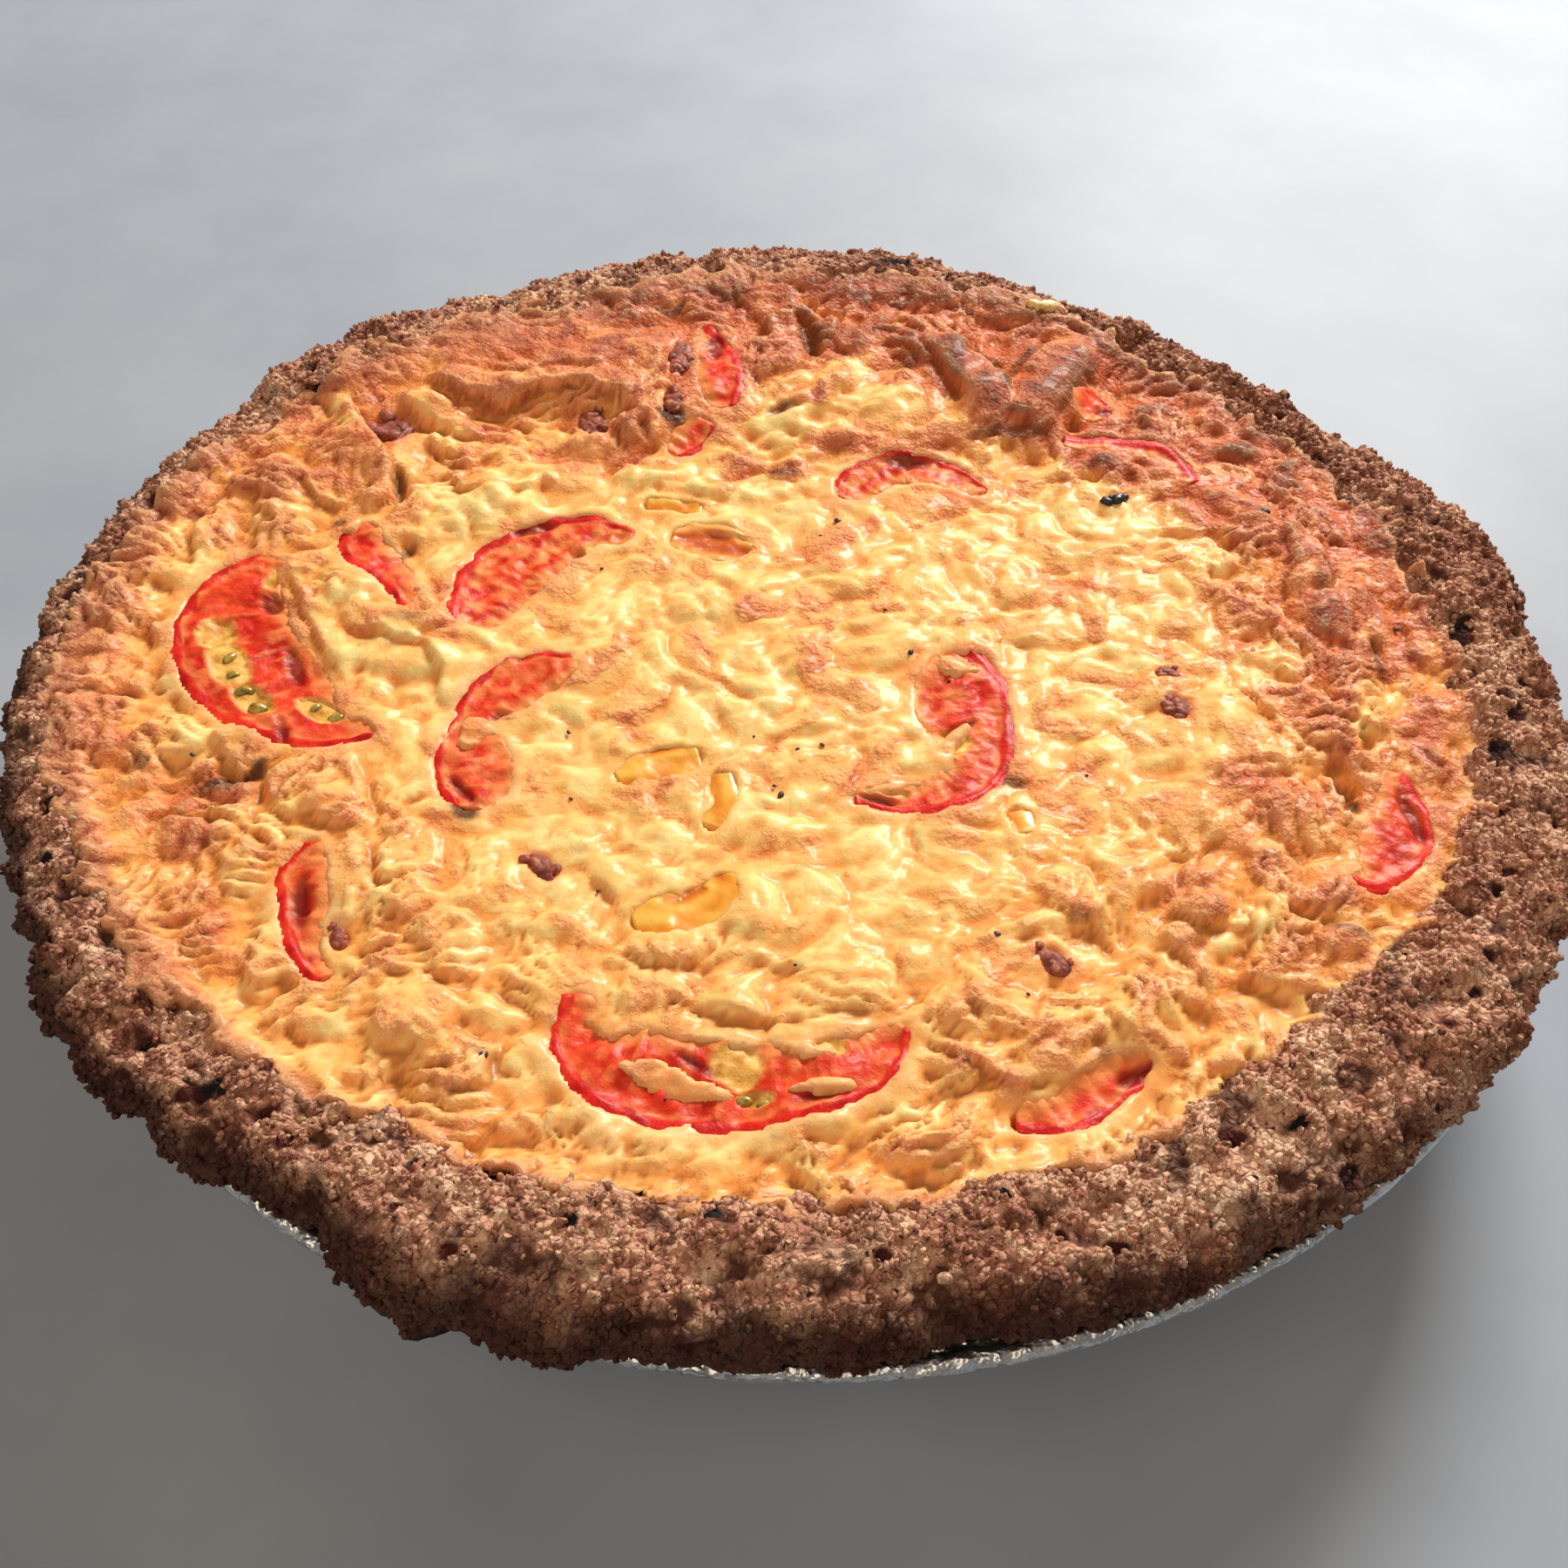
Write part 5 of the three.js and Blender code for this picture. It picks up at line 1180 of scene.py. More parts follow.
rows = len(all_rings)
crust_middles = [(0, 0, FOIL + GAP), (0, 0, CRUST_THICK + 1)]
crust_points = np.vstack([all_rings.reshape(-1, 3), crust_middles])
crust_faces = ring_faces(rows, CRUST_COLUMNS)
bottom_cap = cap_faces(0, rows * CRUST_COLUMNS, CRUST_COLUMNS, False)
inside_cap = cap_faces((rows - 1) * CRUST_COLUMNS, rows * CRUST_COLUMNS + 1, CRUST_COLUMNS, True)


def ring_mask(values, edge_value=0.0):
    """A mask for the whole crust, from its values on the top rows."""
    full = np.full((rows, CRUST_COLUMNS), edge_value)
    full[len(outer_rings):len(outer_rings) + TOP_ROWS] = values
    return full.ravel()


edge_across = top_across + 0.12 * swirls(top_x, top_y, 158, 7)
edge_across = edge_across + 0.05 * swirls(top_x, top_y, 159, 2.5)
# The outer edge is darker, partly baked red brown and partly painted shade that grows towards the
# front. The rows below the top are dark in full.
shade_toward_front = 0.1 + 0.9 * smooth(0.1, -0.75, np.sin(np.arctan2(top_y, top_x) + 0.5))
low = smooth(0.66, 0.94, edge_across) * shade_toward_front
tone = 0.58 * lumps(top_x, top_y, 161, 11) + 0.34 * lumps(top_x, top_y, 162, 4)
tone = tone + 0.4 * (crumb_number - 0.5)
tone = tone - 0.3 * smooth(-40, 50, top_y) - 0.3 * smooth(60, 115, top_x + 0.8 * top_y)
crust = make_piece(
    "crust_bank", crust_points, (crust_faces, bottom_cap, inside_cap),
    {"hollow_shade": ring_mask(hollow_shade, 0.6), "pit_shade": ring_mask(np.maximum(pit_shade, small_pits) * bare),
     "low": ring_mask(low, 1.0), "tone": ring_mask(tone), "grain": ring_mask(grain_number),
     "bare": ring_mask(bare, 1.0)}, ["crust"])
column = np.tile(np.arange(CRUST_COLUMNS), rows - 1)
row = np.repeat(np.arange(rows - 1), CRUST_COLUMNS)
face_corners = ((0, 0), (0, 1), (1, 1), (1, 0))
ring_spots = np.stack([np.stack([column + c, row + r], axis=-1) for r, c in face_corners], axis=1)
ring_spots = ring_spots / np.array([CRUST_COLUMNS, rows + 4.0])
cap_spots = np.tile([[0.1, 0.97], [0.12, 0.97], [0.11, 0.98]], (2 * CRUST_COLUMNS, 1))
set_bake_map(crust, np.vstack([ring_spots.reshape(-1, 2), cap_spots]))

# %% [markdown]
# Loose crumbs break up the crust's outline. Particles would do it, but they don't export, so
# small rough lumps are joined into one mesh, each half sunk where a seeded draw puts it.

# %% Scatter crumbs over the crust
CRUMBS = 9400
SMALLEST_CRUMB, LARGEST_CRUMB = 0.26, 0.78
draw = np.random.default_rng(7)


def rough_balls(middles, sizes, stretch=0.35):
    """Many small lumps of twenty faces, as points and faces."""
    golden = (1 + 5 ** 0.5) / 2
    ball = np.array([
        (-1, golden, 0), (1, golden, 0), (-1, -golden, 0), (1, -golden, 0), (0, -1, golden),
        (0, 1, golden), (0, -1, -golden), (0, 1, -golden), (golden, 0, -1), (golden, 0, 1),
        (-golden, 0, -1), (-golden, 0, 1)]) / math.hypot(1, golden)
    sides = np.array([
        (0, 11, 5), (0, 5, 1), (0, 1, 7), (0, 7, 10), (0, 10, 11), (1, 5, 9), (5, 11, 4),
        (11, 10, 2), (10, 7, 6), (7, 1, 8), (3, 9, 4), (3, 4, 2), (3, 2, 6), (3, 6, 8), (3, 8, 9),
        (4, 9, 5), (2, 4, 11), (6, 2, 10), (8, 6, 7), (9, 8, 1)])
    count = len(middles)
    turn, _ = np.linalg.qr(draw.normal(size=(count, 3, 3)))
    turn *= np.sign(np.linalg.det(turn))[:, None, None]
    uneven = 1 + draw.uniform(-1.2 * stretch, stretch, (count, 12, 1))
    squash = 1 + draw.uniform(-stretch, stretch, (count, 1, 3))
    points = np.einsum("nij,nkj->nki", turn, ball[None] * uneven * squash) * sizes[:, None, None]
    points += middles[:, None, :]
    faces = sides[None] + 12 * np.arange(count)[:, None, None]
    return points.reshape(-1, 3), faces.reshape(-1, 3)


chance = (bare * (0.06 + smooth(0.6, 0.2, hollow_shade)) * (top_across > 0.05)).ravel()
picked = draw.choice(chance.size, CRUMBS, replace=False, p=chance / chance.sum())
crumb_sizes = draw.uniform(SMALLEST_CRUMB, LARGEST_CRUMB, CRUMBS)
lifted = normals.reshape(-1, 3)[picked] * (0.05 * crumb_sizes)[:, None]
spots = moved.reshape(-1, 3)[picked] + lifted
crumb_points, crumb_faces = rough_balls(spots, crumb_sizes)
crumb_tone = np.repeat(draw.uniform(-0.7, 0.4, CRUMBS) + 0.5 * tone.ravel()[picked], 12)
crumb_edge_baked_and_shaded = np.repeat(low.ravel()[picked], 12)
crumbs = make_piece(
    "crust_crumbs", crumb_points, (crumb_faces,),
    {"tone": crumb_tone, "low": crumb_edge_baked_and_shaded, "grain": np.repeat(draw.random(CRUMBS), 12),
     "bare": np.ones(len(crumb_points))})
side = math.ceil(math.sqrt(CRUMBS))
tile = np.stack([np.arange(CRUMBS) % side, np.arange(CRUMBS) // side], axis=1)
local = (crumb_points.reshape(CRUMBS, 12, 3) - spots[:, None])[..., :2]
local = local / (3.4 * crumb_sizes[:, None, None])
crumb_spots = (tile[:, None] + 0.5 + local) / side
set_bake_map(crumbs, crumb_spots.reshape(-1, 2)[crumb_faces.ravel()])

# %% [markdown]
# A baked tomato slice shows a taut dark skin along its outer side, wet flesh with fibres, and
# seed chambers that hold yellow gel. Each slice is a strip: rows of points run across it,
# from the skin to the inner side, and follow the custard's own rise and fall. Its borders
# tuck under the custard's lip. Chambers and hollows are ovals with their own places, and the
# hollows are painted dark red as shade.

# %% Lay the tomato slices
STRIP_STEP = 0.45
TUCK = 1.9
BORDER_SUNK = 1.5
FLOOR_WIDE = 0.75
STRIP_TOP_Z = 43.0
# Seed chambers and gel: x, y, half length, half width, turn.
CHAMBERS = (
    (-94, -7.5, 4.6, 3.4, -75), (-90, -14.5, 6.5, 3.3, -60), (-84.5, -22, 5, 2.6, -38),
    (-73.5, -23.5, 5, 2.4, -25), (-69.5, -19.5, 3.4, 1.5, -50), (24, -25, 3.2, 3.2, 60),
    (15, -35.4, 3, 1, -12), (-6, -84, 4, 3.6, -30), (-17, -75.6, 3, 1.6, -30),
    (-3.6, -88.6, 2.6, 1.2, 0), (-36, 17, 1.2, 2.2, 20), (6, -81, 2.6, 1.4, -20),
    (-88.2, 6.5, 1.4, 3, -15),
)
# Hollows between flesh and chamber, dipped in and painted dark red as shade: x, y, half length,
# half width, turn.
HOLLOWS = (
    (-87, 0.5, 3, 1.8, -60), (-37.5, 14.5, 1.6, 3, 30), (-45, -23.4, 2.6, 1.5, -10),
    (25.6, -21.6, 3.4, 0.9, 30), (12.5, -37, 3.4, 0.8, -12), (5, -87.9, 4, 1.3, 25),
    (-12, -79.5, 5, 1.2, 8), (-11, -84.3, 3.4, 0.9, -30), (18, 44.5, 4.6, 2.1, 0),
    (56, 60.5, 2.6, 2, 0), (-18.6, 75, 2, 5, 5), (45, -83.5, 3.6, 1.1, 30),
    (-79.8, -14, 1.4, 5.4, 25), (-49, -38.6, 3.4, 0.9, -45), (91, -37, 1.3, 6, 8),
    (-47, 22, 4, 1.5, 25), (-8, -79.6, 8, 0.9, 2), (-78, -28.5, 1, 3, 20), (-67.5, -61, 1.6, 5, 10),
)
# The skin's width in each slice, before the tomato profile draws it in.
SKIN_WIDE = {
    "tomato_left": 2.3, "tomato_upper_left": 2.3, "tomato_right_rim": 2.6, "tomato_back": 2.4,
    "tomato_back_right_arc": 3, "tomato_left_wedge": 2.6, "tomato_front_right": 1.6,
    "tomato_front_left": 1.5, "tomato_mid_left": 1.4, "tomato_centre_right": 2.5,
    "tomato_front": 2.2, "tomato_back_centre": 1.2,
}


def strip_net(line):
    """Rows across a strip: x, y, the way from its right side, how deep inside, the way walked."""
    walk = np.linspace(0, line[-1, 3], max(6, int(line[-1, 3] / STRIP_STEP)))
    x, y, half = (np.interp(walk, line[:, 3], line[:, c]) for c in (0, 1, 2))
    dx, dy = np.gradient(x), np.gradient(y)
    size = np.hypot(dx, dy)
    side_x, side_y = -dy / size, dx / size
    count = max(7, int(2 * (half.max() + TUCK) / STRIP_STEP))
    over = np.linspace(-1, 1, count)
    offset = over * (half + TUCK)[:, None]
    return (x[:, None] + side_x[:, None] * offset, y[:, None] + side_y[:, None] * offset,
            offset + half[:, None], half[:, None] - np.abs(offset), walk[:, None] + 0 * offset)


def close_strip(points, rows_, count, deep):
    """Closes a strip's top into a body with a narrower floor under it."""
    grid = np.arange(rows_ * count).reshape(rows_, count)
    faces = square_faces(grid).reshape(-1, 4)
    top = points.reshape(rows_, count, 3)
    middle = top.mean(axis=1)
    floor_points = []
    for edge in (0, -1):
        foot = FLOOR_WIDE * top[:, edge] + (1 - FLOOR_WIDE) * middle
        foot[:, 2] = top[..., 2].min(axis=1) - deep
        floor_points.append(foot)
    right = rows_ * count + np.arange(rows_)
    left = right + rows_
    walls = np.vstack([
        np.stack([grid[1:, 0], grid[:-1, 0], right[:-1], right[1:]], axis=1),
        np.stack([grid[:-1, -1], grid[1:, -1], left[1:], left[:-1]], axis=1),
        np.stack([right[:-1], left[:-1], left[1:], right[1:]], axis=1),
    ])
    first = np.concatenate([grid[0], [left[0], right[0]]])
    last = np.concatenate([grid[-1][::-1], [right[-1], left[-1]]])
    return np.vstack([points] + floor_points), (faces, walls, first[None], last[None])


def strip_piece(name, profile, deep):
    """profile gives the lift over the custard and the masks from the strip's net."""
    x, y, from_skin, inside, walked = strip_net(strips[name])
    base = read_net(skin_soft, x, y)
    lift, masks = profile(name, x, y, from_skin, inside, walked)
    z = np.minimum(base + lift - BORDER_SUNK * smooth(-0.6, -1.7, inside), STRIP_TOP_Z)
    points = np.stack([x, y, z], axis=-1).reshape(-1, 3)
    points, faces = close_strip(points, *x.shape, deep)
    masks = {mask: values.ravel() for mask, values in masks.items()}
    return make_piece(name + "_slice", points, faces, masks, [name])


def tomato_profile(name, x, y, from_skin, inside, walked):
    """How high a slice stands over the custard, and where its skin, gel, hollows and fibres are."""
    wide = 0.6 * SKIN_WIDE.get(name, 1.6)
    wander = 0.75 * swirls(x, y, 171, 3.4)
    skin = 1 - smooth(wide * 0.75, wide * 1.25, from_skin + wander)
    fibre = lumps(walked / 1.1, from_skin / 4, 172) + 0.5 * lumps(walked / 0.7, from_skin / 2, 173)
    gel, dark = np.zeros(x.shape), np.zeros(x.shape)
    for shape in CHAMBERS:
        gel = np.maximum(gel, inside_oval(x, y, shape, 0.75, 1.1, 0.1 * lumps(x, y, 174, 1.5)))
    for shape in HOLLOWS:
        dark = np.maximum(dark, inside_oval(x, y, shape, 0.5, 1.2, 0.15 * lumps(x, y, 175, 1.5)))
    gel *= 1 - skin
    flesh_lumps = 0.42 * lumps(x, y, 176, 2.6) + 0.18 * lumps(x, y, 177, 1.1)
    ridge = bell(from_skin - 0.5 * wide, 0.38 * wide)
    lift = -0.02 + 0.22 * ridge + 0.18 * fibre * (1 - skin) + flesh_lumps * (1 - 0.6 * skin)
    lift += -0.55 * gel - 0.7 * dark + 0.3 * bell(gel - 0.5, 0.25)
    pale = smooth(0.2, 0.9, fibre + 0.6 * lumps(x, y, 178, 3)) * (1 - skin) * (1 - gel)
    custardy = MOTTLED.get(name, 0.0) * smooth(-0.5, 0.8, lumps(x, y, 179, 1.7)) * (1 - skin)
    border = smooth(3.2, -0.2, inside + 1.4 * swirls(x, y, 180, 2.4))
    custardy = np.maximum(custardy, 0.85 * border * (1 - skin))
    return lift, {"skin": skin, "gel": gel, "dark": dark, "pale": pale, "custardy": custardy}


for name in TOMATOES:
    strip_piece(name, tomato_profile, deep=3.2)

# %% [markdown]
# The pepper is cooked soft and half clear, so the strips are smooth, glossy and slightly
# folded. They are the same kind of strip as the tomato, without skin or seeds.

# %% Lay the pepper strips
def pepper_profile(name, x, y, from_skin, inside, walked):
    """How high a strip stands over the custard, and where it is thick or folded."""
    fold = lumps(walked / 3.5, from_skin / 2, 181)
    lift = -0.12 + 0.3 * fold + 0.12 * lumps(x, y, 182, 1.2)
    if name == "pepper_oval":
        lift = lift + 0.2 - 0.45 * smooth(0.5, 3, inside)
        lift = lift + 0.3 * smooth(1, 0, np.abs(from_skin - 7.2))
    return lift, {"thick": smooth(0.2, 2.6, inside), "fold": 0.5 + 0.5 * fold}


for name in PEPPERS:
    strip_piece(name, pepper_profile, deep=2.2)

# %% [markdown]
# Scrapple is fried meat pudding. Where a bit breaks through the custard it is dark, rough and
# glistening. Each is a ball of many faces, stretched to its place and roughened by cells.

# %% Set the scrapple
CRACK_WIDE = 0.35


def rough_lump(shape, rise, sink, seed, detail=4, rough=0.22):
    """A stretched ball with a cracked surface, as points and faces, and where its cracks lie, which
    the finish paints darker as shade.
    """
    ball = bmesh.new()
    bmesh.ops.create_icosphere(ball, subdivisions=detail, radius=1)
    points = np.array([v.co[:] for v in ball.verts])
    faces = np.array([[v.index for v in face.verts] for face in ball.faces])
    ball.free()
    px, py, long, wide, turn = shape[:5]
    size = 0.5 * (long + wide)
    near, second, _ = cells([c * size / 1.6 + 7 for c in points.T], seed)
    uneven = lumps(points[:, 0] * size / 1.5, points[:, 1] * size / 1.5, seed)
    swell = 1 + rough * (second - near - 0.3) + 0.12 * uneven
    points = points * swell[:, None] * (long, wide, rise)
    a = math.radians(turn)
    spun = points.copy()
    spun[:, 0] = points[:, 0] * math.cos(a) - points[:, 1] * math.sin(a) + px
    spun[:, 1] = points[:, 0] * math.sin(a) + points[:, 1] * math.cos(a) + py
    base = float(read_net(skin_soft, np.array([px]), np.array([py]))[0])
    spun[:, 2] += base - sink
    # Where the cracks are: the finish paints them darker as shade.
    crack_shade = np.clip(CRACK_WIDE - (second - near), 0, CRACK_WIDE) / CRACK_WIDE
    return spun, faces, crack_shade


BITS_EACH = 6
for seed, (name, shape) in enumerate(SCRAPPLE.items()):
    px, py, long, wide, turn = shape
    a = math.radians(turn)
    bits = [rough_lump((px, py, 1.05 * long, 1.05 * wide, turn), rise=1.2, sink=0.75,
                       seed=191 + seed, rough=0.3)]
    for k in range(BITS_EACH):
        u, v = draw.uniform(-0.8, 0.8, 2) * (long, wide)
        size = draw.uniform(0.3, 0.52) * wide
        bit = (px + u * math.cos(a) - v * math.sin(a), py + u * math.sin(a) + v * math.cos(a),
               1.25 * size, size, draw.uniform(0, 180))
        bits.append(rough_lump(bit, rise=0.7 * size, sink=0.05, seed=211 + 10 * seed + k, detail=3,
                               rough=0.4))
    starts = np.cumsum([0] + [len(bit[0]) for bit in bits[:-1]])
    make_piece(name + "_bit", np.vstack([bit[0] for bit in bits]),
               (np.vstack([bit[1] + start for bit, start in zip(bits, starts)]),),
               {"crack_shade": np.concatenate([bit[2] for bit in bits])}, [name])

# %% [markdown]
# Small things finish the top: cracked pepper, one black crumb, a pale nut in the crust, and
# the olive seeds that shine in the tomato's gel. Each kind is one joined mesh of lumps.

# %% Seeds, specks, the black crumb and the nut
# x, y, half length
PEPPER_SPECKS = (
    (80.5, 30, 1.1), (-16, -21.5, 0.3), (-6.5, -25, 0.35), (-35, -25.5, 0.45), (-33, -39, 0.4),
    (14, 4.7, 0.4), (18, -5.3, 0.7), (24, -11.7, 0.45), (4, -26.3, 0.5), (2, -19, 0.45),
    (0.3, -27.5, 0.5), (-2, -37, 0.75), (32, -72, 0.4), (28.5, -62, 0.7), (1, -68.3, 0.35),
    (-15, -89, 0.5), (14, -86.5, 0.4), (6, 27, 0.9), (3, 23, 0.4), (-34, 12.8, 0.4),
    (-27, -56.5, 0.4), (97, 36.5, 0.5), (98, 3, 0.6), (-38.5, -84.8, 0.9), (-99, 34, 0.5),
    (66, -83, 0.5), (-90, -34.5, 0.5), (-3, -35, 0.3), (44, -31, 0.3), (11, 1.5, 0.35),
)
# x, y, half length, half width, turn
TOMATO_SEEDS = (
    (-86.3, -20.2, 1.9, 1.2, 20), (-83.2, -23.3, 1.8, 1.1, -20), (-90, -13.5, 1.5, 0.9, 60),
    (-88.6, -17, 1.3, 0.8, 30), (-71, -24.6, 1.5, 0.9, 20), (-74.4, -22.8, 1.2, 0.8, 60),
    (-5, -88.6, 1.3, 0.8, 0), (-2.4, -89.2, 1.2, 0.7, 30), (20.6, -27.4, 1.1, 0.7, 60),
    (-66.4, -70.6, 1.1, 0.7, 0), (4.4, -79, 1.1, 0.6, 20), (-15.6, -74, 1.0, 0.6, 0),
)


def joined_lumps(shapes, rise, sink, seed, detail, rough):
    """One lump for each shape, all in one mesh."""
    points, faces, count = [], [], 0
    for k, shape in enumerate(shapes):
        lump, sides, _ = rough_lump(shape, rise * shape[3], sink, seed + k, detail, rough)
        points.append(lump)
        faces.append(sides + count)
        count += len(lump)
    return np.vstack(points), (np.vstack(faces),)


specks = [(x, y, size, 0.7 * size, 40 * k) for k, (x, y, size) in enumerate(PEPPER_SPECKS)]
points, faces = joined_lumps(specks, rise=0.9, sink=0.0, seed=301, detail=2, rough=0.3)
make_piece("pepper_specks", points, faces)
points, faces = joined_lumps(TOMATO_SEEDS, rise=1.0, sink=0.75, seed=401, detail=3, rough=0.02)
make_piece("tomato_seeds", points, faces)
BLACK_CRUMB = (
    (55.6, 34.3, 1.4, 1.1, 20), (53.6, 33.6, 1.3, 0.9, -30), (56.9, 35, 0.8, 0.7, 0),
    (54.4, 34.6, 0.9, 0.6, 70),
)
points, faces = joined_lumps(BLACK_CRUMB, rise=0.9, sink=-0.2, seed=451, detail=3, rough=0.35)
make_piece("black_crumb", points, faces)
NUT = ((46.6, 88.4, 2.6, 1.6, 10), (44, 88.8, 1.5, 1.1, -20))
nut_points, nut_faces = joined_lumps(NUT, rise=1.0, sink=0, seed=471, detail=4, rough=0.16)
nut_at = (np.array([46.6]), np.array([88.4]))
nut_rise = crust_height(*nut_at, crust_across(*nut_at))[0]
nut_points[:, 2] += nut_rise + 0.3 - nut_points[:, 2].mean()
make_piece("nut_bit", nut_points, nut_faces)

# %% [markdown]
# The tin is pressed from thin foil: a pleated wall, a flat flange and a rolled rim, all a
# little crumpled from handling. A lathe would make it perfectly round. Here the same rings as
# the CAD model are drawn with finer steps, pleats and small random creases.

# %% Press the foil tin
TIN_COLUMNS = 864
PLEATS = 54
PLEAT_DEPTH = 0.5
WALL_RINGS = 14
BEAD_TURN = 30
tin_angle = np.linspace(0, TAU, TIN_COLUMNS, endpoint=False)


def tin_rings():
    """Rings of points from the base up the outside, over the bead and down the inside."""
    pleat = PLEAT_DEPTH * np.sin(tin_angle * PLEATS + 0.5 * np.sin(tin_angle * 7))
    crease = lumps(tin_angle * 60, 0 * tin_angle, 501)
    bead_r = TIN_RIM_R - BEAD
    outline = [(0.6 * TIN_BASE_R, 0, 0), (0.97 * TIN_BASE_R, 0, 0), (TIN_BASE_R, 0.05, 0)]
    for part in np.linspace(0.04, 1, WALL_RINGS):
        wall_r = TIN_BASE_R + (TIN_INSIDE_R - TIN_BASE_R) * part
        outline.append((wall_r, (TIN_RIM_Z - 1.4) * part, min(1, 4 * part)))
    outline += [(TIN_INSIDE_R + 1.2, TIN_RIM_Z - 1.1, 0.5),
                (bead_r - BEAD - 2, TIN_RIM_Z - 0.8, 0.15), (bead_r - BEAD, TIN_RIM_Z - 0.8, 0.1)]
    for degrees in range(-90, 181, BEAD_TURN):
        a = math.radians(degrees)
        outline.append((bead_r + BEAD * math.cos(a), TIN_RIM_Z + BEAD * math.sin(a), 0.1))
    outline += [(bead_r - 2, TIN_RIM_Z - 0.1, 0.1), (TIN_INSIDE_R - 0.3, TIN_RIM_Z - 0.8, 0.5),
                (TIN_INSIDE_R - 2, TIN_RIM_Z - 3, 1), (TIN_BASE_R + 2, 3.2, 1),
                (TIN_BASE_R - 0.5, FOIL, 0)]
    rings = []
    for k, (r, z, pleated) in enumerate(outline):
        wave = 0.12 * lumps(tin_angle * 40, 0 * tin_angle + 0.37 * k, 502) + 0.1 * crease
        radius = dented(r + pleat * pleated + wave * min(1, z / 4), tin_angle)
        height = z + 0.1 * min(1, z / 20) * lumps(tin_angle * 25, 0 * tin_angle + 0.2 * k, 503)
        rings.append(ring_at(radius, height, tin_angle))
    return np.array(rings)


tin_rows = tin_rings()
tin_points = np.vstack([tin_rows.reshape(-1, 3), [[0, 0, 0]], [[0, 0, FOIL]]])
tin_count = len(tin_rows)
tin_end = tin_count * TIN_COLUMNS
tin_faces = (ring_faces(tin_count, TIN_COLUMNS), cap_faces(0, tin_end, TIN_COLUMNS, False),
             cap_faces(tin_end - TIN_COLUMNS, tin_end + 1, TIN_COLUMNS, True))
make_piece("foil_tin_pressed", tin_points, tin_faces, {}, ["foil_tin"])

# %% [markdown]
# Materials come last, when every mask is on the meshes. Short helpers keep the node trees
# readable: each adds a node or two and returns the socket to use next. Colours are written
# as they look on screen, from 0 to 255, and turned into linear light.

# %% Helpers for node trees
def paint(*colour):
    """Turns red, green and blue from 0 to 255 into linear light, with an opacity of 1."""
    dark = [c / 255 / 12.92 for c in colour]
    light = [((c / 255 + 0.055) / 1.055) ** 2.4 for c in colour]
    return (*(dark[k] if c < 11 else light[k] for k, c in enumerate(colour)), 1)


class Tree:
    """A node tree that is written from left to right."""

    def __init__(self, tree):
        self.tree = tree
        self.shader = tree.nodes.get("Principled BSDF")

    def add(self, kind, settings=None, **inputs):
        """Adds a node. An input is named as Blender names it, or _0, _1 and so on by its number."""
        node = self.tree.nodes.new(kind)
        for key, value in (settings or {}).items():
            setattr(node, key, value)
        for key, value in inputs.items():
            self.put(node.inputs[int(key[1:]) if key[0] == "_" else key], value)
        return node

    def put(self, socket, value):
        if isinstance(value, bpy.types.NodeSocket):
            self.tree.links.new(value, socket)
        else:
            socket.default_value = value

    def feed(self, name, value):
        """Feeds one input of the material's shader."""
        self.put(self.shader.inputs[name], value)

    def mask(self, name, share=1.0):
        """A mask that the mesh carries, or a share of it."""
        value = self.add("ShaderNodeAttribute", {"attribute_name": name}).outputs["Fac"]
        return value if share == 1 else self.times(value, share)

    def place(self):
        return self.add("ShaderNodeTexCoord").outputs["Object"]

    def shaken(self, scale, reach):
        """The place, pushed about by soft noise."""
        push = self.add("ShaderNodeTexNoise", Vector=self.place(), Scale=scale, Detail=2.0)
        node = self.add("ShaderNodeVectorMath", {"operation": "MULTIPLY_ADD"},
                        _0=push.outputs["Color"], _1=(reach,) * 3, _2=self.place())
        return node.outputs[0]

    def noise(self, size_mm, detail, rough=0.55):
        node = self.add("ShaderNodeTexNoise", Vector=self.place(), Scale=1 / (size_mm * MM),
                        Detail=detail, Roughness=rough)
        return node.outputs["Fac"]

    def math(self, kind, a, b=0.0):
        return self.add("ShaderNodeMath", {"operation": kind}, _0=a, _1=b).outputs[0]

    def plus(self, a, b):
        return self.math("ADD", a, b)

    def times(self, a, b):
        return self.math("MULTIPLY", a, b)

    def span(self, value, low, high, to_low=0.0, to_high=1.0):
        """Maps low to high onto another range, and stops at its ends."""
        node = self.add("ShaderNodeMapRange", _0=value, _1=low, _2=high, _3=to_low, _4=to_high)
        return node.outputs[0]

    def blend(self, factor, a, b):
        """Goes from colour a to b. Each is a socket, or red, green and blue from 0 to 255."""
        a, b = (paint(*colour) if isinstance(colour, tuple) else colour for colour in (a, b))
        return self.add("ShaderNodeMix", {"data_type": "RGBA"}, _0=factor, _6=a, _7=b).outputs[2]

    def ramp(self, value, stops):
        """A scale of colours. Each stop is a position from 0 to 1 and its red, green and blue."""
        node = self.add("ShaderNodeValToRGB", Fac=value)
        bar = node.color_ramp.elements
        while len(bar) < len(stops):
            bar.new(0.5)
        for element, (position, *colour) in zip(bar, stops):
            element.position, element.color = position, paint(*colour)
        return node.outputs["Color"]

    def bump(self, height, depth_mm, strength=1.0, under=None):
        node = self.add("ShaderNodeBump", Height=height, Distance=depth_mm * MM, Strength=strength)
        if under is not None:
            self.tree.links.new(under, node.inputs["Normal"])
        return node.outputs["Normal"]


def new_finish(name, **sockets):
    """A material with its own node tree. The sockets of its shader are given by name."""
    material = bpy.data.materials.new(name)
    material.use_nodes = True
    tree = Tree(material.node_tree)
    for key, value in sockets.items():
        tree.feed(key.replace("_", " "), value)
    return material, tree


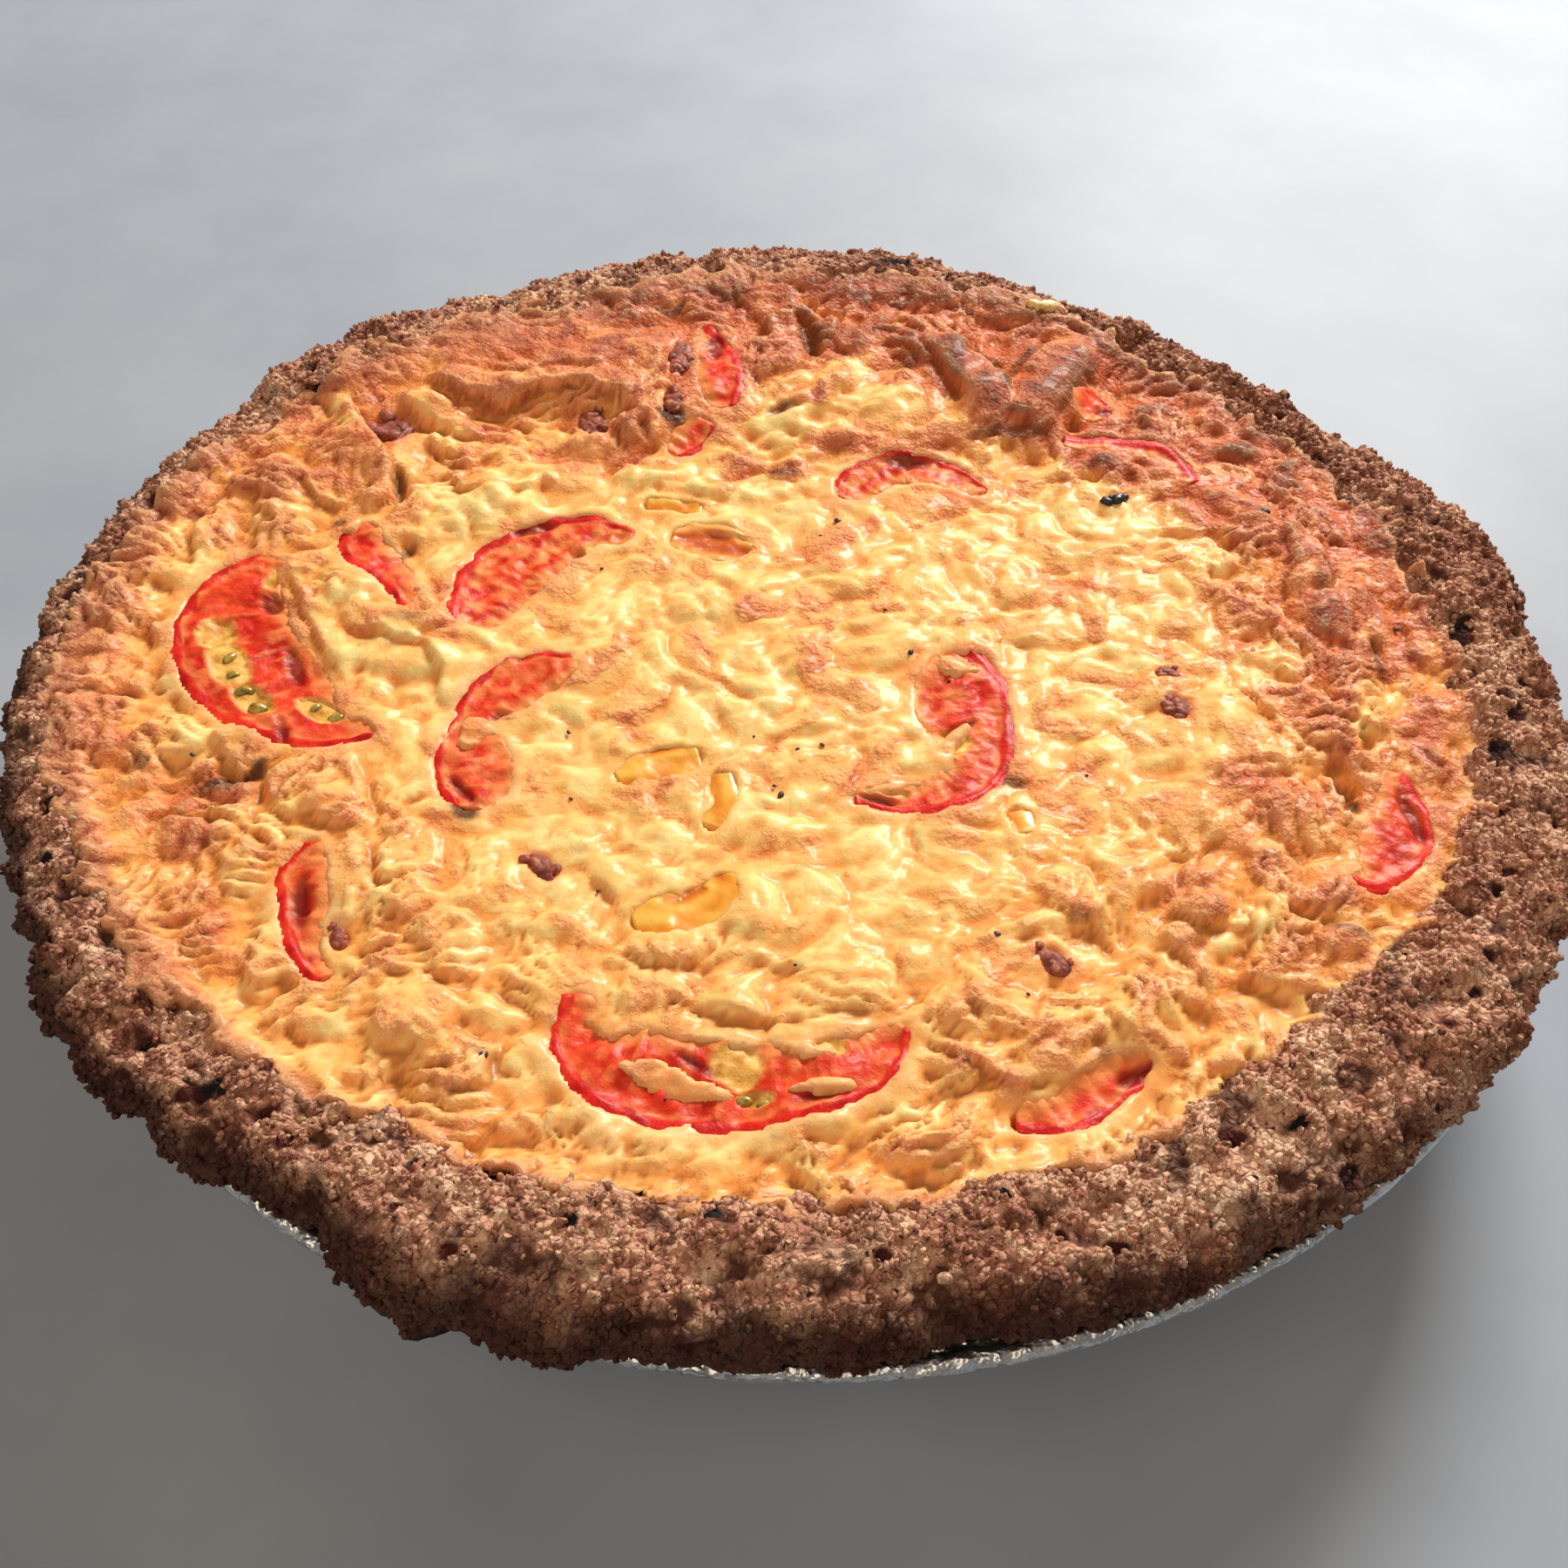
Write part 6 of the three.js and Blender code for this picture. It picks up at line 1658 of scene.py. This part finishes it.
def wear(finish, names):
    """Puts a material on pieces."""
    for name in names:
        data = pieces_made[name].data
        data.materials.clear()
        data.materials.append(finish)


# %% [markdown]
# Two effects are shared. Baked skin, wet tomato and crumpled foil have a fine creased surface
# that differs only in size and depth, and all the food has colour that drifts in soft patches.
# Each is one node group with named inputs, built once and placed with a material's own values.

# %% Two shared effects
def new_effect(name, inputs, outputs):
    """A node group. Returns it, its tree, and the sockets it is given and has to fill."""
    group = bpy.data.node_groups.new(name, "ShaderNodeTree")
    for label, kind, value in inputs:
        socket = group.interface.new_socket(label, in_out="INPUT", socket_type=kind)
        socket.default_value = value
    for label, kind in outputs:
        group.interface.new_socket(label, in_out="OUTPUT", socket_type=kind)
    tree = Tree(group)
    return group, tree, tree.add("NodeGroupInput").outputs, tree.add("NodeGroupOutput").inputs


creased, tree, given, result = new_effect(
    "creased_surface", [("Scale", "NodeSocketFloat", 500.0), ("Sharpness", "NodeSocketFloat", 2.0)],
    [("Height", "NodeSocketFloat"), ("GrooveShade", "NodeSocketFloat")])
fine = tree.add("ShaderNodeTexNoise", Vector=tree.shaken(160.0, 2 * MM), Scale=given["Scale"],
                Detail=3.0, Roughness=0.5)
ridge = tree.math("ABSOLUTE", tree.math("SUBTRACT", fine.outputs["Fac"], 0.5))
height = tree.math("POWER", tree.math("SUBTRACT", 1.0, tree.times(ridge, 2.0)), given["Sharpness"])
tree.put(result["Height"], height)
# This output marks the crease lines, where the custard paints shade into its colour.
tree.put(result["GrooveShade"], tree.span(height, 0.75, 0.98))

drifting, tree, given, result = new_effect(
    "drifting_tone", [("Scale", "NodeSocketFloat", 120.0), ("Spread", "NodeSocketFloat", 0.2)],
    [("Shift", "NodeSocketFloat")])
wide = tree.add("ShaderNodeTexNoise", Vector=tree.place(), Scale=given["Scale"], Detail=5.0,
                Roughness=0.6)
centred = tree.math("SUBTRACT", wide.outputs["Fac"], 0.5)
tree.put(result["Shift"], tree.times(tree.times(centred, 2.0), given["Spread"]))


def creases_in(tree, scale, sharpness):
    node = tree.add("ShaderNodeGroup", {"node_tree": creased}, Scale=scale, Sharpness=sharpness)
    return node.outputs


def drift_in(tree, scale, spread):
    node = tree.add("ShaderNodeGroup", {"node_tree": drifting}, Scale=scale, Spread=spread)
    return node.outputs["Shift"]


print("shared effects:", creased.name, drifting.name)

# %% [markdown]
# The custard's colour runs from cream over yellow and orange to brown, and one ramp holds
# that whole scale. The toast mask picks the place on it. Film, blush and burnt spots are laid
# over it, and so is painted light: painted shade in creases, grooves and hollows, and a painted
# highlight on the ridges. Custard is a little clear, so light goes some way into it, and its
# oily gloss is strongest where it is palest.

# %% Finish the custard
custard_finish, tree = new_finish(
    "baked_custard", IOR=1.4, Specular_IOR_Level=0.26, Subsurface_Weight=0.35,
    Subsurface_Radius=(1.0, 0.4, 0.12), Subsurface_Scale=0.0028, Coat_Roughness=0.14)
drift = drift_in(tree, 190.0, 0.42)
fine_drift = drift_in(tree, 900.0, 0.1)
tones = tree.plus(tree.plus(tree.mask("toast"), drift), fine_drift)
skin_colour = tree.ramp(tones, [
    (0.0, 254, 225, 150), (0.12, 254, 201, 116), (0.26, 254, 188, 114), (0.44, 247, 166, 106),
    (0.62, 220, 130, 86), (0.8, 182, 94, 66), (1.0, 112, 54, 42)])
creases = creases_in(tree, 640.0, 2.0)
leathery = tree.span(tones, 0.2, 0.6, 0.16, 1.0)
pink = tree.blend(tree.mask("blush"), skin_colour, (232, 96, 62))
orange = tree.blend(tree.mask("pepper_near", 0.45), pink, (240, 160, 50))
film_tone = tree.ramp(tree.noise(5, 4), [(0.3, 212, 144, 104), (0.7, 168, 106, 78)])
filmed = tree.blend(tree.mask("film", 0.85), orange, film_tone)
# Painted shade: creases, found by the deep mask, are darkened towards orange and brown.
crease_shade_colour = tree.blend(tree.span(tones, 0.15, 0.5), (238, 146, 60), (164, 68, 38))
shaded = tree.blend(tree.mask("deep", 0.8), filmed, crease_shade_colour)
# Painted highlight: ridges, found by the high mask, are lightened towards pale cream.
lit = tree.blend(tree.mask("high", 0.28), shaded, (255, 222, 166))
# Painted shade: hollows are tinted orange, browner where the skin is browner.
dip_shade_colour = tree.blend(tree.span(tones, 0.2, 0.6), (246, 156, 72), (214, 104, 54))
dip_shaded = tree.blend(tree.mask("hollow_shade", 0.68), lit, dip_shade_colour)
# Painted shade along the fine crease lines, stronger where the skin is browner.
groove_shade_share = tree.times(creases["GrooveShade"], tree.span(tones, 0.2, 0.7, 0.05, 0.25))
groove_shaded = tree.blend(groove_shade_share, dip_shaded, (190, 92, 52))
# Burnt spots and painted shade in creases are darkened to near-black brown.
scorch_and_shade_colour = tree.ramp(tree.noise(2, 3), [(0.3, 84, 34, 18), (0.7, 44, 16, 12)])
scorch_and_shade_darkened = tree.blend(tree.mask("scorch_and_crease_shade"), groove_shaded, scorch_and_shade_colour)
tree.feed("Base Color", scorch_and_shade_darkened)
matt = tree.plus(tree.span(tree.mask("toast"), 0.0, 0.9, 0.5, 0.56), tree.times(drift, 0.5))
tree.feed("Roughness", matt)
tree.feed("Coat Weight", tree.span(tree.mask("toast"), 0.1, 0.7, 0.14, 0.07))
browner = tree.span(tree.mask("toast"), 0.1, 0.5, 0.4, 1.0)
grained = tree.bump(tree.noise(1.1, 2), depth_mm=0.08, strength=browner)
broad = tree.times(creases_in(tree, 330.0, 2.0)["Height"], leathery)
narrow = tree.times(creases["Height"], leathery)
creased_broadly = tree.bump(broad, depth_mm=0.6, strength=0.7, under=grained)
tree.feed("Normal", tree.bump(narrow, depth_mm=0.4, strength=0.9, under=creased_broadly))
wear(custard_finish, ["custard_skin"])

# %% [markdown]
# Crust is dry and matt. Light crumbs stand against dark gaps and seams, and that dark is painted
# shade, as is the near-black in its holes. The outer edge is darker, partly baked to a red brown
# and partly painted shade that is strongest towards the front. The tone and grain masks give
# every crumb its own tone, like real flour, cornmeal and specks of fat.

# %% Finish the crust and its crumbs
crust_finish, tree = new_finish("crumbly_crust", IOR=1.4, Roughness=0.88)
drift = drift_in(tree, 150.0, 0.44)
shaken = tree.shaken(900.0, 0.9 * MM)
GRIT_SCALE = 780.0
grit = tree.add("ShaderNodeTexVoronoi", Vector=shaken, Scale=GRIT_SCALE)
seams = tree.add("ShaderNodeTexVoronoi", {"feature": "DISTANCE_TO_EDGE"}, Vector=shaken,
                 Scale=GRIT_SCALE)
between = seams.outputs["Distance"]
shade = tree.add("ShaderNodeSeparateColor", Color=grit.outputs["Color"]).outputs[0]
grains = tree.plus(tree.times(tree.math("SUBTRACT", tree.mask("grain"), 0.5), 0.2),
                   tree.times(tree.math("SUBTRACT", shade, 0.5), 0.42))
tones = tree.plus(tree.plus(tree.mask("tone", 0.42), 0.48), tree.plus(drift, grains))
crumb_colour = tree.ramp(tones, [
    (0.0, 136, 84, 64), (0.26, 190, 130, 104), (0.48, 222, 168, 138), (0.75, 240, 196, 162),
    (1.0, 250, 217, 184)])
# Painted shade: the seams between grains are darkened.
crumb_colour = tree.blend(tree.span(between, 0.0, 0.12, 0.3, 0.0), crumb_colour, (104, 50, 32))
# Painted shade: low places among the crumbs are darkened.
gap_shaded = tree.blend(tree.span(tree.mask("hollow_shade"), 0.3, 0.7, 0.0, 0.9), crumb_colour, (82, 40, 30))
# The outer edge is darkened: partly baked red brown, partly painted shade.
edge_baked_and_shaded = tree.blend(tree.mask("low", 0.92), gap_shaded, (58, 20, 15))
speckled = tree.blend(tree.span(tree.noise(1.1, 2), 0.66, 0.7), edge_baked_and_shaded, (74, 50, 44))
# Painted shade: the holes are darkened to near-black.
pit_shade_colour = tree.ramp(tree.noise(7, 1), [(0.42, 24, 18, 22), (0.58, 84, 34, 28)])
pit_shaded = tree.blend(tree.span(tree.mask("pit_shade"), 0.25, 0.8), speckled, pit_shade_colour)
tree.feed("Base Color", pit_shaded)
crumbled = tree.bump(tree.noise(0.7, 3, 0.6), depth_mm=0.2, strength=0.8)
domes = tree.math("MINIMUM", tree.times(between, 3.0), 1.0)
tree.feed("Normal", tree.bump(domes, depth_mm=0.5, strength=0.9, under=crumbled))
wear(crust_finish, ["crust_bank", "crust_crumbs"])

# %% [markdown]
# Tomato and pepper are wet and half clear, so both get a coat and some subsurface. The
# tomato's skin is a deep crimson, its flesh goes from scarlet to coral with pale fibres, and
# its gel is yellow. Custard clings to it in small mottles. Its hollows get painted shade in a
# dark red.

# %% Finish the tomato
tomato_finish, tree = new_finish(
    "baked_tomato", IOR=1.36, Specular_IOR_Level=0.3, Subsurface_Weight=0.15,
    Subsurface_Radius=(1.0, 0.25, 0.08), Subsurface_Scale=0.003, Coat_Weight=0.08,
    Coat_Roughness=0.22, Roughness=0.48)
drift = drift_in(tree, 230.0, 1.0)
flesh = tree.ramp(tree.plus(drift, 0.5), [
    (0.2, 190, 22, 12), (0.45, 216, 42, 20), (0.7, 234, 72, 36), (0.9, 244, 108, 60)])
fibred = tree.blend(tree.mask("pale", 0.5), flesh, (250, 146, 84))
mottled = tree.blend(tree.mask("custardy"), fibred, (246, 158, 90))
gel_colour = tree.ramp(tree.noise(2.6, 3), [(0.35, 206, 140, 52), (0.62, 250, 200, 112)])
gelled = tree.blend(tree.mask("gel"), mottled, gel_colour)
peel_colour = tree.ramp(tree.noise(3.5, 3), [
    (0.3, 172, 12, 14), (0.5, 214, 30, 22), (0.72, 236, 70, 40)])
skinned = tree.blend(tree.mask("skin"), gelled, peel_colour)
# Painted shade: the hollows are darkened to a deep red.
tomato_hollow_shaded = tree.blend(tree.mask("dark", 0.75), skinned, (110, 8, 14))
tree.feed("Base Color", tomato_hollow_shaded)
wet = creases_in(tree, 520.0, 2.0)["Height"]
fibrous = tree.bump(tree.noise(1.3, 3), depth_mm=0.16, strength=0.6)
tree.feed("Normal", tree.bump(wet, depth_mm=0.2, strength=0.6, under=fibrous))
wear(tomato_finish, [name + "_slice" for name in TOMATOES])

# %% Finish the pepper
for finish_name, green_through, mask, scale, spread, stops, names in (
        ("soft_pepper", 0.5, "fold", 260.0, 0.35,
         [(0.15, 204, 104, 18), (0.5, 234, 148, 40), (0.85, 250, 190, 84)],
         [name + "_slice" for name in PEPPERS if name != "pepper_oval"]),
        ("roasted_pepper", 0.4, "thick", 200.0, 0.4,
         [(0.1, 242, 172, 92), (0.55, 224, 122, 38), (0.9, 204, 94, 20)], ["pepper_oval_slice"])):
    finish, tree = new_finish(
        finish_name, IOR=1.4, Subsurface_Weight=0.2, Subsurface_Radius=(1.0, green_through, 0.08),
        Subsurface_Scale=0.003, Coat_Weight=0.3, Coat_Roughness=0.2, Roughness=0.36)
    clear = tree.ramp(tree.plus(tree.mask(mask), drift_in(tree, scale, spread)), stops)
    tree.feed("Base Color", clear)
    tree.feed("Normal", tree.bump(tree.noise(1.6, 3), depth_mm=0.25, strength=0.6))
    wear(finish, names)

# %% [markdown]
# The small dark things need a finish too: fried scrapple in purple browns with a fatty
# shine, near-black specks, a cream nut and glassy olive seeds.

# %% Finish the scrapple, the specks, the nut and the seeds
scrapple_finish, tree = new_finish(
    "fried_scrapple", IOR=1.4, Roughness=0.6, Coat_Weight=0.1, Coat_Roughness=0.3)
meat = tree.ramp(tree.plus(tree.noise(2.2, 4, 0.65), drift_in(tree, 420.0, 0.2)), [
    (0.3, 112, 42, 32), (0.5, 166, 82, 60), (0.72, 212, 130, 96)])
# Painted shade: the cracks are darkened.
tree.feed("Base Color", tree.blend(tree.mask("crack_shade", 0.45), meat, (48, 18, 16)))
tree.feed("Normal", tree.bump(tree.noise(0.8, 4), depth_mm=0.3, strength=0.9))
wear(scrapple_finish, [name + "_bit" for name in SCRAPPLE])
for finish_name, piece_name, dark_paint, light_paint, rough in (
        ("cracked_pepper", "pepper_specks", (26, 20, 20), (84, 66, 60), 0.6),
        ("black_char", "black_crumb", (8, 9, 14), (34, 36, 48), 0.45),
        ("pale_nut", "nut_bit", (222, 176, 96), (252, 226, 158), 0.5),
        ("olive_seed", "tomato_seeds", (112, 92, 20), (206, 176, 84), 0.18)):
    finish, tree = new_finish(finish_name, IOR=1.45, Roughness=rough, Coat_Weight=0.3)
    mixed = tree.ramp(tree.noise(1.5, 3), [(0.35, *dark_paint), (0.65, *light_paint)])
    tree.feed("Base Color", mixed)
    tree.feed("Normal", tree.bump(tree.noise(0.6, 3), depth_mm=0.15, strength=0.7))
    wear(finish, [piece_name])

# %% [markdown]
# Kitchen foil is bright metal broken by fine wrinkles and the marks of handling. Metallic at
# full with a middling roughness gives the satin look, and bump breaks the reflections.

# %% Finish the tin
foil_finish, tree = new_finish("pressed_foil", Metallic=1.0)
smudge = tree.noise(9, 5)
tree.feed("Base Color", tree.ramp(smudge, [(0.3, 196, 200, 204), (0.7, 226, 230, 232)]))
tree.feed("Roughness", tree.span(smudge, 0.3, 0.7, 0.26, 0.44))
crinkle = creases_in(tree, 260.0, 3.0)["Height"]
tree.feed("Normal", tree.bump(crinkle, depth_mm=0.6, strength=0.9))
wear(foil_finish, ["foil_tin_pressed"])

# %% [markdown]
# The table is a plain pale floor. Soft light comes in from behind, high and a little from the
# right, as from a big window, so puffs and folds throw soft shadows towards the viewer. A
# wide dim panel and a pale world fill the front.

# %% Floor, light and world
FLOOR_HALF = 1.6
floor_mesh = bpy.data.meshes.new("pale_table")
low, high = -FLOOR_HALF, FLOOR_HALF
floor_corners = [(low, low, 0), (high, low, 0), (high, high, 0), (low, high, 0)]
floor_mesh.from_pydata(floor_corners, [], [(0, 1, 2, 3)])
pale_table = bpy.data.objects.new("pale_table", floor_mesh)
bpy.context.scene.collection.objects.link(pale_table)
table_finish, tree = new_finish("pale_table", Roughness=0.6)
tree.feed("Base Color", tree.ramp(tree.noise(60, 4), [(0.3, 150, 160, 174), (0.7, 164, 173, 186)]))
floor_mesh.materials.append(table_finish)


def add_panel(name, place, width, height, power, colour):
    """An area light that faces the pie."""
    data = bpy.data.lights.new(name, "AREA")
    data.shape, data.size, data.size_y = "RECTANGLE", width, height
    data.energy, data.color = power, colour
    lamp = bpy.data.objects.new(name, data)
    lamp.location = place
    lamp.rotation_euler = (Vector((0, 0, 0.03)) - Vector(place)).to_track_quat("-Z", "Y").to_euler()
    bpy.context.scene.collection.objects.link(lamp)


add_panel("window_light", (0.46, 1.06, 0.8), width=0.5, height=0.34, power=27,
          colour=(1.0, 0.96, 0.9))
add_panel("front_fill", (-0.4, -0.7, 1.1), width=1.2, height=1.0, power=6.5,
          colour=(1.0, 0.8, 0.6))
ROOM_COLOUR, ROOM_GLOW = (1.0, 0.86, 0.72, 1), 0.2
world = bpy.data.worlds.new("pale_room")
world.use_nodes = True
world.node_tree.nodes["Background"].inputs["Color"].default_value = ROOM_COLOUR
world.node_tree.nodes["Background"].inputs["Strength"].default_value = ROOM_GLOW
bpy.context.scene.world = world
bpy.context.scene.view_settings.view_transform = "Standard"
print("lights set")
